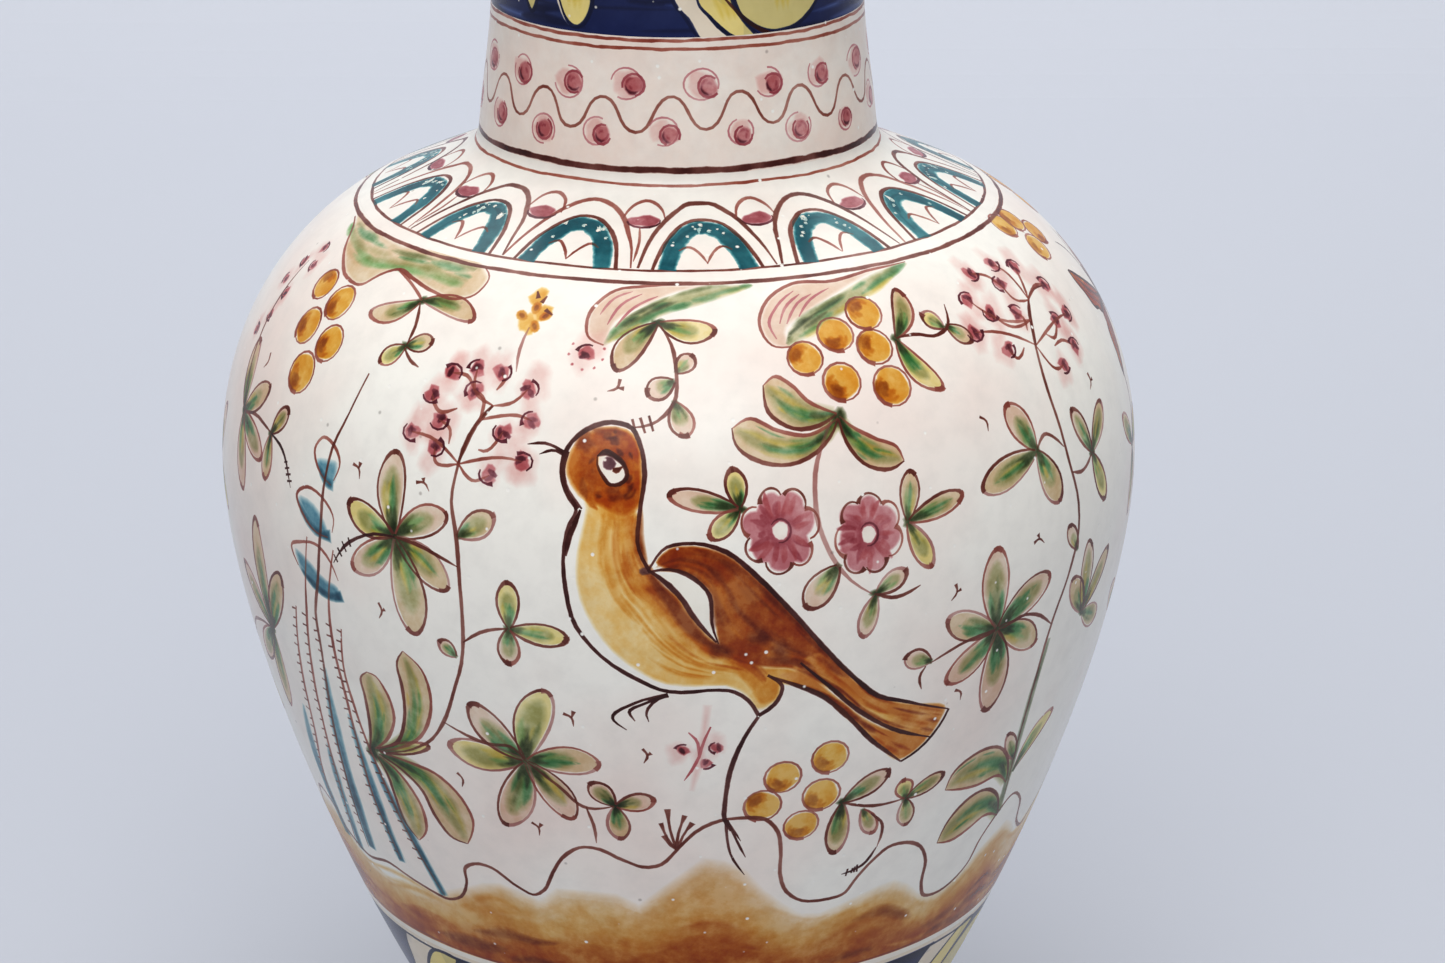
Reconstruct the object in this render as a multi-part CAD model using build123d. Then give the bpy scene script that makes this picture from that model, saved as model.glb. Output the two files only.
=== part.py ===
from build123d import *

import math
import os
from collections import namedtuple

# A painted earthenware vase, baluster shaped and open at the mouth.
#
# It is thrown in five sections, which are luted together with slip and coated with tin glaze:
# a foot ring, a lower and an upper body that meet near the belly, a neck and a flared mouth rim.
# The glaze is a thin skin over the clay.  It is given in the zones that the painter divides it
# into, and the inside has a lining of its own.
#
# All lengths are in millimetres.  +Z is up, the axis of the vase is the Z axis, the foot ring
# stands on z = 0, and the painted front faces -Y.

# ---------------------------------------------------------------- outline of the glazed vase
# Each station has its outer radius and its rise above the station below it.

foot_radius = 60.0
waist_radius = 56.0
waist_rise = 18.0
skirt_radius = 73.2
skirt_rise = 44.0
belly_radius = 120.4
belly_rise = 149.0
shoulder_radius = 80.5
shoulder_rise = 70.0
neck_root_radius = 51.4
neck_root_rise = 17.0
neck_radius = 47.6
neck_rise = 38.0
mouth_radius = 60.0
mouth_rise = 34.0

# How far the outline leans from upright at a station, in degrees, outward positive.
skirt_lean = 28.0
shoulder_lean = -64.5
neck_root_lean = -4.5
mouth_lean = 35.0

# ---------------------------------------------------------------- walls, skins and joints

clay_wall = 6.0
floor_thickness = 8.0
floor_flat_radius = 26.0
bowl_rise = 24.0

foot_ring_width = 11.0
foot_ring_height = 9.0
foot_ring_rounding = 1.2

glaze_thickness = 0.6
unglazed_foot = 4.0

slip_thickness = 0.8
tongue_depth = 2.4

# Where the luted joints and the painted zones lie, measured from the stations named.
belly_joint_drop = 6.0
neck_joint_rise = 5.0
mouth_joint_rise = 4.0

# A stretch of outline shorter than this is left out where a height falls on a station.
shortest_edge = 0.001

foot_zone_rise = 31.5
frieze_zone_drop = 1.0
neck_zone_drop = 4.5

# ---------------------------------------------------------------- stations

waist_height = waist_rise
skirt_height = waist_height + skirt_rise
belly_height = skirt_height + belly_rise
shoulder_height = belly_height + shoulder_rise
neck_root_height = shoulder_height + neck_root_rise
neck_height = neck_root_height + neck_rise
vase_height = neck_height + mouth_rise

# The lip is a half round on the end of the wall, glaze included.
glazed_wall = clay_wall + 2 * glaze_thickness
lip_radius = glazed_wall / 2
lip_centre = Vector(mouth_radius - lip_radius, 0, vase_height - lip_radius)


def direction(lean):
    """Unit vector along the outline, going up, where it leans by this many degrees."""
    return Vector(math.sin(math.radians(lean)), 0, math.cos(math.radians(lean)))


def outward(along):
    """Unit vector square to the outline, pointing out of the vase."""
    return Vector(along.Z, 0, -along.X)


# A station's handles are the shares of the chord below it and above it over which the outline
# keeps that station's direction.
Station = namedtuple("Station", "point lean below above")

lip_start = lip_centre + outward(direction(mouth_lean)) * lip_radius

stations = [
    Station(Vector(foot_radius, 0, 0), 0.0, 0.0, 0.35),
    Station(Vector(waist_radius, 0, waist_height), 0.0, 0.35, 0.35),
    Station(Vector(skirt_radius, 0, skirt_height), skirt_lean, 0.40, 0.26),
    Station(Vector(belly_radius, 0, belly_height), 0.0, 0.27, 0.50),
    Station(Vector(shoulder_radius, 0, shoulder_height), shoulder_lean, 0.21, 0.60),
    Station(Vector(neck_root_radius, 0, neck_root_height), neck_root_lean, 0.20, 0.33),
    Station(Vector(neck_radius, 0, neck_height), 0.0, 0.33, 0.35),
    Station(lip_start, mouth_lean, 0.35, 0.0),
]


def stretch(low, high, depth):
    """The piece of the outline between two stations, a cubic curve, moved inward by depth."""
    start = low.point - outward(direction(low.lean)) * depth
    end = high.point - outward(direction(high.lean)) * depth
    chord = (end - start).length
    return Bezier(
        start,
        start + direction(low.lean) * (low.above * chord),
        end - direction(high.lean) * (high.below * chord),
        end,
    )


# ---------------------------------------------------------------- heights inside the vase

foot_joint_height = foot_ring_height
belly_joint_height = belly_height - belly_joint_drop
neck_joint_height = neck_root_height + neck_joint_rise
mouth_joint_height = neck_height + mouth_joint_rise

half_slip = slip_thickness / 2
floor_underside = foot_joint_height + half_slip
floor_top = floor_underside + floor_thickness
bowl_top = floor_top + bowl_rise
ring_inner_radius = foot_radius - foot_ring_width


# ---------------------------------------------------------------- curves of the wall
# A face of the wall is a list of curves in the XZ plane, end to end, each of which runs upward.


def outer_face(depth):
    """The outline moved inward by depth, from the foot to the lip."""
    return [stretch(low, high, depth) for low, high in zip(stations, stations[1:])]


def share_at(curve, height):
    """Share of a rising curve's length at which it reaches a height, found by halving."""
    low, high = 0.0, 1.0
    for _ in range(40):
        middle = (low + high) / 2
        if (curve @ middle).Z < height:
            low = middle
        else:
            high = middle
    return high


def part_of(face, low_height, high_height):
    """The part of a rising face of the wall between two heights."""
    pieces = []
    for curve in face:
        start = share_at(curve, low_height) if (curve @ 0).Z < low_height else 0
        end = share_at(curve, high_height) if (curve @ 1).Z > high_height else 1
        if (end - start) * curve.length > shortest_edge:
            pieces.append(curve.trim(start, end))
    return pieces


def point_at(face, height):
    """The point of a rising face of the wall at a height."""
    curve = next((curve for curve in face if (curve @ 1).Z > height), face[-1])
    return curve @ share_at(curve, height)


def hollow(depth, floor_height):
    """The inside of the vase from the middle of the floor: the floor's flat and bowl, then the side."""
    side = part_of(outer_face(depth), bowl_top, vase_height)
    side_start = side[0] @ 0
    flat_end = Vector(floor_flat_radius, 0, floor_height)
    reach = (side_start - flat_end).length
    flat = Line((0, 0, floor_height), flat_end)
    bowl = Bezier(
        flat_end,
        flat_end + Vector(reach / 2, 0, 0),
        side_start - (side[0] % 0) * (reach / 3),
        side_start,
    )
    return [flat, bowl], side


def lip_arc(radius, start_lean, end_lean):
    """Part of the half round lip, between two directions from its centre given as leans."""
    middle_lean = (start_lean + end_lean) / 2
    ends = [lip_centre + direction(lean) * radius for lean in (start_lean, middle_lean, end_lean)]
    return ThreePointArc(*ends)


lip_outside = mouth_lean + 90.0
lip_crest = 0.0
lip_inside = mouth_lean - 90.0

glaze_face = outer_face(0)
clay_face = outer_face(glaze_thickness)
clay_floor, clay_side = hollow(glaze_thickness + clay_wall, floor_top)
lining_floor, lining_side = hollow(glazed_wall, floor_top + glaze_thickness)
ring_recess = [Line((ring_inner_radius, 0, 0), (ring_inner_radius, 0, floor_underside))]


def level_line(outside, inside, height):
    """A level edge across a wall, from its outer face to its inner face."""
    return [Line(point_at(outside, height), point_at(inside, height))]


def luted_edge(outside, inside, height):
    """The V of a luted joint across a wall, from its outer face to its inner face."""
    outer = point_at(outside, height)
    inner = point_at(inside, height)
    tongue = (outer + inner) / 2 - Vector(0, 0, tongue_depth)
    return [Line(outer, tongue), Line(tongue, inner)]


def spun(edges):
    """The solid that a closed loop of edges in the XZ plane sweeps round the axis."""
    return revolve(Face(Wire(edges)), Axis.Z, 360)


def wall_ring(outside, inside, low_height, high_height, edge):
    """A ring of wall between two heights, with both ends shaped by an edge function."""
    return spun([
        *part_of(outside, low_height, high_height),
        *part_of(inside, low_height, high_height),
        *edge(outside, inside, low_height),
        *edge(outside, inside, high_height),
    ])


# ---------------------------------------------------------------- clay and slip


def foot_ring():
    """The ring that the vase stands on, rounded where it meets the ground."""
    top = foot_joint_height - half_slip
    ring = spun([
        *part_of(clay_face, 0, top),
        *part_of(ring_recess, 0, top),
        *luted_edge(clay_face, ring_recess, top),
        *level_line(clay_face, ring_recess, 0),
    ])
    return fillet(ring.edges().group_by(Axis.Z)[0], foot_ring_rounding)


def lower_body():
    """The lower bowl: its floor, luted on the foot ring, and its wall up to the belly joint."""
    top = belly_joint_height - half_slip
    return spun([
        *part_of(clay_face, floor_underside, top),
        *luted_edge(clay_face, clay_side, top),
        *part_of(clay_side, bowl_top, top),
        *clay_floor,
        Line((0, 0, floor_top), (0, 0, floor_underside)),
        Line((0, 0, floor_underside), point_at(ring_recess, floor_underside)),
        *luted_edge(clay_face, ring_recess, floor_underside),
    ])


def wall_section(low_joint, high_joint):
    """A thrown section between two luted joints, half a slip joint clear of each."""
    return wall_ring(clay_face, clay_side, low_joint + half_slip, high_joint - half_slip, luted_edge)


def mouth_rim():
    """The flared mouth, from its luted joint to the rounded lip."""
    bottom = mouth_joint_height + half_slip
    return spun([
        *part_of(clay_face, bottom, vase_height),
        lip_arc(clay_wall / 2, lip_outside, lip_inside),
        *part_of(clay_side, bottom, vase_height),
        *luted_edge(clay_face, clay_side, bottom),
    ])


def slip_ring(inside, joint_height):
    """The slip in one luted joint."""
    return wall_ring(clay_face, inside, joint_height - half_slip, joint_height + half_slip, luted_edge)


# ---------------------------------------------------------------- glaze

crest_of_clay = lip_centre + direction(lip_crest) * (clay_wall / 2)
crest_of_glaze = lip_centre + direction(lip_crest) * lip_radius

# Painted zones of the outer glaze from the bottom up, each with its upper edge.
glaze_zones = [
    ("glaze_foot_band", skirt_height + foot_zone_rise),
    ("glaze_frieze", shoulder_height - frieze_zone_drop),
    ("glaze_shoulder_band", neck_root_height),
    ("glaze_neck_band", neck_height - neck_zone_drop),
]


def mouth_band(low_height):
    """The topmost painted zone, which ends on the crest of the lip."""
    return spun([
        *part_of(glaze_face, low_height, vase_height),
        lip_arc(lip_radius, lip_outside, lip_crest),
        Line(crest_of_glaze, crest_of_clay),
        lip_arc(clay_wall / 2, lip_crest, lip_outside),
        *part_of(clay_face, low_height, vase_height),
        *level_line(glaze_face, clay_face, low_height),
    ])


def lining():
    """The glaze inside, from the crest of the lip down over the wall and the floor."""
    return spun([
        *clay_floor,
        *clay_side,
        lip_arc(clay_wall / 2, lip_inside, lip_crest),
        Line(crest_of_clay, crest_of_glaze),
        lip_arc(lip_radius, lip_crest, lip_inside),
        *lining_floor,
        *lining_side,
        Line((0, 0, floor_top), (0, 0, floor_top + glaze_thickness)),
    ])


# ---------------------------------------------------------------- the vase


def vase():
    """Every piece of the vase by its name."""
    pieces = {
        "foot_ring": foot_ring(),
        "lower_body": lower_body(),
        "upper_body": wall_section(belly_joint_height, neck_joint_height),
        "neck": wall_section(neck_joint_height, mouth_joint_height),
        "mouth_rim": mouth_rim(),
        "slip_foot_joint": slip_ring(ring_recess, foot_joint_height),
        "slip_belly_joint": slip_ring(clay_side, belly_joint_height),
        "slip_neck_joint": slip_ring(clay_side, neck_joint_height),
        "slip_mouth_joint": slip_ring(clay_side, mouth_joint_height),
    }
    low_height = unglazed_foot
    for name, high_height in glaze_zones:
        pieces[name] = wall_ring(glaze_face, clay_face, low_height, high_height, level_line)
        low_height = high_height
    pieces["glaze_mouth_band"] = mouth_band(low_height)
    pieces["glaze_lining"] = lining()
    return pieces


def main():
    os.makedirs("parts", exist_ok=True)
    for name, piece in vase().items():
        export_step(piece, f"parts/{name}.step")


main()
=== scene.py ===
"""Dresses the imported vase: painted tin glaze over its clay, in a plain studio.

Every glaze zone of the frame is replaced by a skin of the same outline, whose painting is drawn
as brush strokes and washes.  The painter's surface is the unrolled wall.  A place on it is an
angle in degrees round the axis, with 0 at the front (-Y) and positive towards +X, and a height in
millimetres measured along the wall, with 0 at 205 mm above the ground.
"""

import logging
import math
from collections.abc import Callable
from dataclasses import dataclass
from enum import Enum
from functools import cached_property

import bpy
import numpy as np
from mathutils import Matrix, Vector
from mathutils.geometry import delaunay_2d_cdt


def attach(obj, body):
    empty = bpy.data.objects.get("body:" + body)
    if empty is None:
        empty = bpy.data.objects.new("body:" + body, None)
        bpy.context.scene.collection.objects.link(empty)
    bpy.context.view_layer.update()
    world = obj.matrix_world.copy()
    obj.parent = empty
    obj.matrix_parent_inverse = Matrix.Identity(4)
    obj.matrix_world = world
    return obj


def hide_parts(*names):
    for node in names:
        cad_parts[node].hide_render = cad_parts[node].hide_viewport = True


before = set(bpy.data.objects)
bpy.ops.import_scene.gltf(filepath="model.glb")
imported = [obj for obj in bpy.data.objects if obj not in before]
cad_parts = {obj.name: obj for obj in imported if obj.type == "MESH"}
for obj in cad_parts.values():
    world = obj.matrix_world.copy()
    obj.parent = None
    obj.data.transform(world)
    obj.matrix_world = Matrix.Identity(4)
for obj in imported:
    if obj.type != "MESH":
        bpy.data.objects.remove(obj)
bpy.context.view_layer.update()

MM = 0.001
LOG = logging.getLogger("vase")
Array = np.ndarray
Place = tuple[float, float]
Color = tuple[float, float, float]
Socket = bpy.types.NodeSocket


def linear(code: str) -> Color:
    """A colour written as six hex digits, as linear light values."""
    shares = [int(code[i:i + 2], 16) / 255 for i in (0, 2, 4)]
    return tuple(s / 12.92 if s <= 0.04045 else ((s + 0.055) / 1.055) ** 2.4 for s in shares)


def run_along(points: Array) -> Array:
    """How far along a line each of its points lies."""
    return np.r_[0.0, np.cumsum(np.hypot(*np.diff(points, axis=0).T))]


# ------------------------------------------------------------------ the outline of the vase


@dataclass(frozen=True)
class Station:
    """A named height of the outline.

    The outline passes it at this radius, leaning from upright by this many degrees, and keeps
    that direction over a share of the chord below it and above it.
    """

    radius: float
    height: float
    lean: float
    below: float
    above: float


class Outline:
    """The glazed outline from the foot over the lip, as whole arrays in millimetres.

    Between two stations it is the cubic curve of the four points P0 to P3, the sum of
    (1-t)^3 P0, 3(1-t)^2 t P1, 3(1-t) t^2 P2 and t^3 P3.  The half round lip ends it.
    """

    steps = 240
    skin = 0.6
    wall = 7.2
    height = 370.0
    mouth_radius = 60.0
    mouth_lean = 35.0
    belly_height = 211.0
    zero_height = 205.0

    def __init__(self) -> None:
        """Works out the outline and the height along the wall of each of its points."""
        self.lip_radius = self.wall / 2
        self.lip_centre = np.array([self.mouth_radius, self.height]) - self.lip_radius
        turn = math.radians(self.mouth_lean)
        lip_start = self.lip_centre + self.lip_radius * np.array([math.cos(turn), -math.sin(turn)])
        self.stations = [
            Station(60.0, 0.0, 0.0, 0.0, 0.35),
            Station(56.0, 18.0, 0.0, 0.35, 0.35),
            Station(73.2, 62.0, 28.0, 0.40, 0.26),
            Station(120.4, self.belly_height, 0.0, 0.27, 0.50),
            Station(80.5, 281.0, -64.5, 0.21, 0.60),
            Station(51.4, 298.0, -4.5, 0.20, 0.33),
            Station(47.6, 336.0, 0.0, 0.33, 0.35),
            Station(lip_start[0], lip_start[1], self.mouth_lean, 0.35, 0.0),
        ]
        points = [self._stretch(a, b) for a, b in zip(self.stations, self.stations[1:])]
        sweep = np.linspace(-turn, math.pi / 2, self.steps)
        lip = self.lip_centre + self.lip_radius * np.stack([np.cos(sweep), np.sin(sweep)], 1)
        curve = np.concatenate([*points, lip])
        keep = np.r_[True, np.hypot(*np.diff(curve, axis=0).T) > 1e-6]
        curve = curve[keep]
        run = run_along(curve)
        self.radii, self.heights = curve.T
        self.along = run - np.interp(self.zero_height, self.heights, run)
        slope = np.gradient(curve, self.along, axis=0)
        self.normals = np.stack([slope[:, 1], -slope[:, 0]], 1)

    def _stretch(self, low: Station, high: Station) -> Array:
        """The cubic curve between two stations, as steps x 2 radii and heights."""
        ends = [np.array([s.radius, s.height]) for s in (low, high)]
        chord = np.hypot(*(ends[1] - ends[0]))
        ways = [np.array([math.sin(math.radians(s.lean)), math.cos(math.radians(s.lean))])
                for s in (low, high)]
        inner = [ends[0] + ways[0] * low.above * chord, ends[1] - ways[1] * high.below * chord]
        t = np.linspace(0, 1, self.steps)[:, None]
        return ((1 - t) ** 3 * ends[0] + 3 * (1 - t) ** 2 * t * inner[0]
                + 3 * (1 - t) * t ** 2 * inner[1] + t ** 3 * ends[1])

    def along_at(self, height: float) -> float:
        """Height along the wall of a height above the ground."""
        return float(np.interp(height, self.heights, self.along))

    def radius(self, along: Array | float) -> Array:
        """Radius of the glaze at heights along the wall."""
        return np.interp(along, self.along, self.radii)

    def place(self, turn: Array, along: Array, depth: float = 0.0) -> tuple[Array, Array]:
        """Points of the wall in metres, and the directions that face out of it.

        A point is (r sin a, -r cos a, z) at the angle a, with r and z read off the outline and
        moved inward along its normal by the depth.

        Args:
            turn: angles round the axis in radians.
            along: heights along the wall in millimetres.
            depth: how far under the surface the points lie, in millimetres.

        Returns:
            The points and the unit normals, both N x 3.
        """
        normal = np.stack([np.interp(along, self.along, n) for n in self.normals.T], 1)
        normal /= np.linalg.norm(normal, axis=1)[:, None]
        radius = np.interp(along, self.along, self.radii) - depth * normal[:, 0]
        height = np.interp(along, self.along, self.heights) - depth * normal[:, 1]
        wave, swing = np.sin(turn), -np.cos(turn)
        points = np.stack([radius * wave, radius * swing, height], 1) * MM
        return points, np.stack([normal[:, 0] * wave, normal[:, 0] * swing, normal[:, 1]], 1)


OUTLINE = Outline()


# ------------------------------------------------------------------ colours on the brush


@dataclass(frozen=True)
class Ink:
    """A colour on the brush, and the share of the glaze under it that it hides.

    Stains in a glaze take light away, so they are mixed as depths: a depth is minus the natural
    logarithm of the colour, and light passes it as the exponential of minus the depth.
    """

    color: Color
    strength: float = 1.0

    @property
    def depth(self) -> Array:
        """The ink's depth in red, green and blue."""
        return -np.log(np.maximum(self.color, 0.002))

    def thinned(self, share: float) -> "Ink":
        """The same ink with more water."""
        return Ink(self.color, self.strength * share)


MANGANESE = Ink(linear("5a2822"), 0.86)
MANGANESE_DARK = Ink(linear("331312"), 0.94)
MANGANESE_PALE = Ink(linear("8c5350"), 0.66)
LEAF_DARK = Ink(linear("26301a"), 0.86)
LEAF_GREEN = Ink(linear("2c6e3e"), 0.74)
LEAF_SAGE = Ink(linear("82874f"), 0.62)
LEAF_YELLOW = Ink(linear("ccb143"), 0.62)
LEAF_BEIGE = Ink(linear("bf9c6c"), 0.6)
LEAF_ROSE = Ink(linear("c99d80"), 0.5)
BERRY_YELLOW = Ink(linear("dc9a30"), 0.88)
BERRY_ORANGE = Ink(linear("bd6610"), 0.88)
BERRY_BROWN = Ink(linear("7a3608"), 0.85)
MAUVE = Ink(linear("a84c54"), 0.82)
MAUVE_DARK = Ink(linear("4a1b26"), 0.92)
MAUVE_WASH = Ink(linear("dc9a98"), 0.36)
TEAL = Ink(linear("0f5363"), 0.98)
TEAL_DARK = Ink(linear("083a4a"), 0.9)
SLATE_BLUE = Ink(linear("35708e"), 0.88)
BIRD_CREAM = Ink(linear("eabb68"), 0.9)
BIRD_ORANGE = Ink(linear("a84404"), 0.98)
BIRD_BROWN = Ink(linear("662002"), 0.92)
OCHRE = Ink(linear("cc8a3a"), 0.84)
SIENNA = Ink(linear("a04810"), 0.9)
UMBER = Ink(linear("6e2c0a"), 0.9)
COBALT = Ink(linear("141e4e"), 0.97)
COBALT_DARK = Ink(linear("0d1233"), 0.95)
SCROLL_YELLOW = Ink(linear("f3e08e"), 0.95)
SCROLL_PALE = Ink(linear("f2e6d6"), 1.0)
SCROLL_DEEP = Ink(linear("d9b83e"), 0.5)
COBALT_PALE = Ink(linear("5670b4"), 0.8)
SLATE_DARK = Ink(linear("1a4660"), 0.88)
BIRD_TAN = Ink(linear("ca7c32"), 0.9)
WHITE = Ink(linear("fbf9f4"), 1.0)
NECK_ROSE = Ink(linear("f2d9d0"), 0.4)
RING_BROWN = Ink(linear("8a3f33"), 0.85)
RING_DARK = Ink(linear("3c1512"), 0.93)
MANGANESE_WARM = Ink(linear("834038"), 0.82)
LEAF_FRESH = Ink(linear("5f9853"), 0.66)
LEAF_MOSS = Ink(linear("4c5c30"), 0.66)
MAUVE_PETAL = Ink(linear("b4646f"), 0.8)
MAUVE_DEEP = Ink(linear("903a46"), 0.82)
BIRD_RUST = Ink(linear("8c3202"), 0.98)
BIRD_DEEP = Ink(linear("401002"), 0.9)
BIRD_GOLD = Ink(linear("cc7a20"), 0.88)
OCHRE_PALE = Ink(linear("dcb077"), 0.76)
GLAZE = linear("f7f4ec")
ROSE_CLOUD = linear("eccdc3")
GREY_CLOUD = linear("b9b6b2")
SPECK = linear("6a5a54")
PINHOLE = linear("f7f4ee")


# ------------------------------------------------------------------ brush strokes


HAND = np.random.default_rng(11)


class Touch(Enum):
    """How the brush is pressed along a line: the half width at its start, middle and end."""

    EVEN = (0.85, 1.0, 0.85)
    TAPER = (0.45, 1.0, 0.3)
    DROP = (0.5, 0.75, 1.5)
    PULL = (1.1, 0.8, 0.25)


@dataclass
class Line:
    """A drawn line on the unrolled wall: its middle, the half width there and how dense it is."""

    middle: Array
    half: Array
    density: Array
    ink: Ink
    left: Array
    right: Array


@dataclass
class Wash:
    """A patch of thin colour: its edge and how soft that is, and its ink.

    The ink may change from a near to a far point.  The press of a narrow brush also has a spine,
    the line where it is densest.
    """

    edge: Array
    soft: float
    ink: Ink
    far_ink: Ink | None = None
    near: Array | None = None
    far: Array | None = None
    spine: Array | None = None


def shifted(place: Place, across: float, up: float) -> Place:
    """The place a distance across and up from another one, in millimetres."""
    return place[0] + math.degrees(across / OUTLINE.radius(place[1])), place[1] + up


def drift(count: int, length: float, wavelength: float, amount: float) -> Array:
    """A slow wander along a stroke: random values a wavelength apart, joined smoothly.

    Args:
        count: how many points the stroke has.
        length: its length in millimetres.
        wavelength: distance between the random values.
        amount: the largest value.

    Returns:
        One value for each point.
    """
    knots = max(4, int(length / wavelength) + 2)
    values = HAND.uniform(-amount, amount, knots)
    at = np.linspace(0, knots - 1.001, count)
    low = at.astype(int)
    share = at - low
    share = share * share * (3 - 2 * share)
    return values[low] * (1 - share) + values[low + 1] * share


def even_bends(points: Array, longest: float, sag: float) -> Array:
    """Fewer points of a finely sampled curve, nearer to each other where it bends.

    A chord of length c misses a curve of curvature k by k c^2 / 8.

    Args:
        points: the fine points.
        longest: the greatest distance between two of the new points.
        sag: how far a chord may miss the curve.
    """
    run = run_along(points)
    heading = np.unwrap(np.arctan2(*np.gradient(points, axis=0).T[::-1]))
    bend = np.abs(np.gradient(heading, np.maximum(run, np.arange(len(run)) * 1e-9)))
    gap = np.minimum(longest, np.sqrt(8 * sag / np.maximum(bend, 1e-6)))
    need = np.r_[0.0, np.cumsum(np.diff(run) / ((gap[1:] + gap[:-1]) / 2))]
    at = np.linspace(0, need[-1], max(2, math.ceil(need[-1]) + 1))
    return np.stack([np.interp(at, need, values) for values in points.T], 1)


def through(points: Array, longest: float, sag: float = 0.05, spread: bool = False) -> Array:
    """A smooth curve through the points.

    Between two points it is the cubic with the points' own slopes, each the mean of the slopes
    of the two chords beside it, weighted by the other chord's length.

    Args:
        points: the points it passes.
        longest: the greatest distance between two of its samples.
        sag: how far a chord between samples may miss the curve.
        spread: whether the samples stay evenly spaced instead.
    """
    points = points[np.r_[True, np.hypot(*np.diff(points, axis=0).T) > 1e-6]]
    if len(points) == 2:
        share = np.linspace(0, 1, max(2, int(np.hypot(*(points[1] - points[0])) / longest) + 1))
        return points[0] + share[:, None] * (points[1] - points[0])
    span = np.hypot(*np.diff(points, axis=0).T)
    slope = np.diff(points, axis=0) / span[:, None]
    inner = (slope[:-1] * span[1:, None] + slope[1:] * span[:-1, None]) / (span[1:] + span[:-1])[:, None]
    tangent = np.concatenate([[1.5 * slope[0] - 0.5 * inner[0]], inner, [1.5 * slope[-1] - 0.5 * inner[-1]]])
    knots = np.r_[0.0, np.cumsum(span)]
    fine = longest if spread else 0.35
    at = np.linspace(0, knots[-1], max(3, int(knots[-1] / fine) + 1))
    low = np.clip(np.searchsorted(knots, at, "right") - 1, 0, len(span) - 1)
    t = ((at - knots[low]) / span[low])[:, None]
    rise = span[low][:, None]
    curve = ((1 + 2 * t) * (1 - t) ** 2 * points[low] + t * (1 - t) ** 2 * rise * tangent[low]
             + t * t * (3 - 2 * t) * points[low + 1] + t * t * (t - 1) * rise * tangent[low + 1])
    return curve if spread else even_bends(curve, longest, sag)


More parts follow.
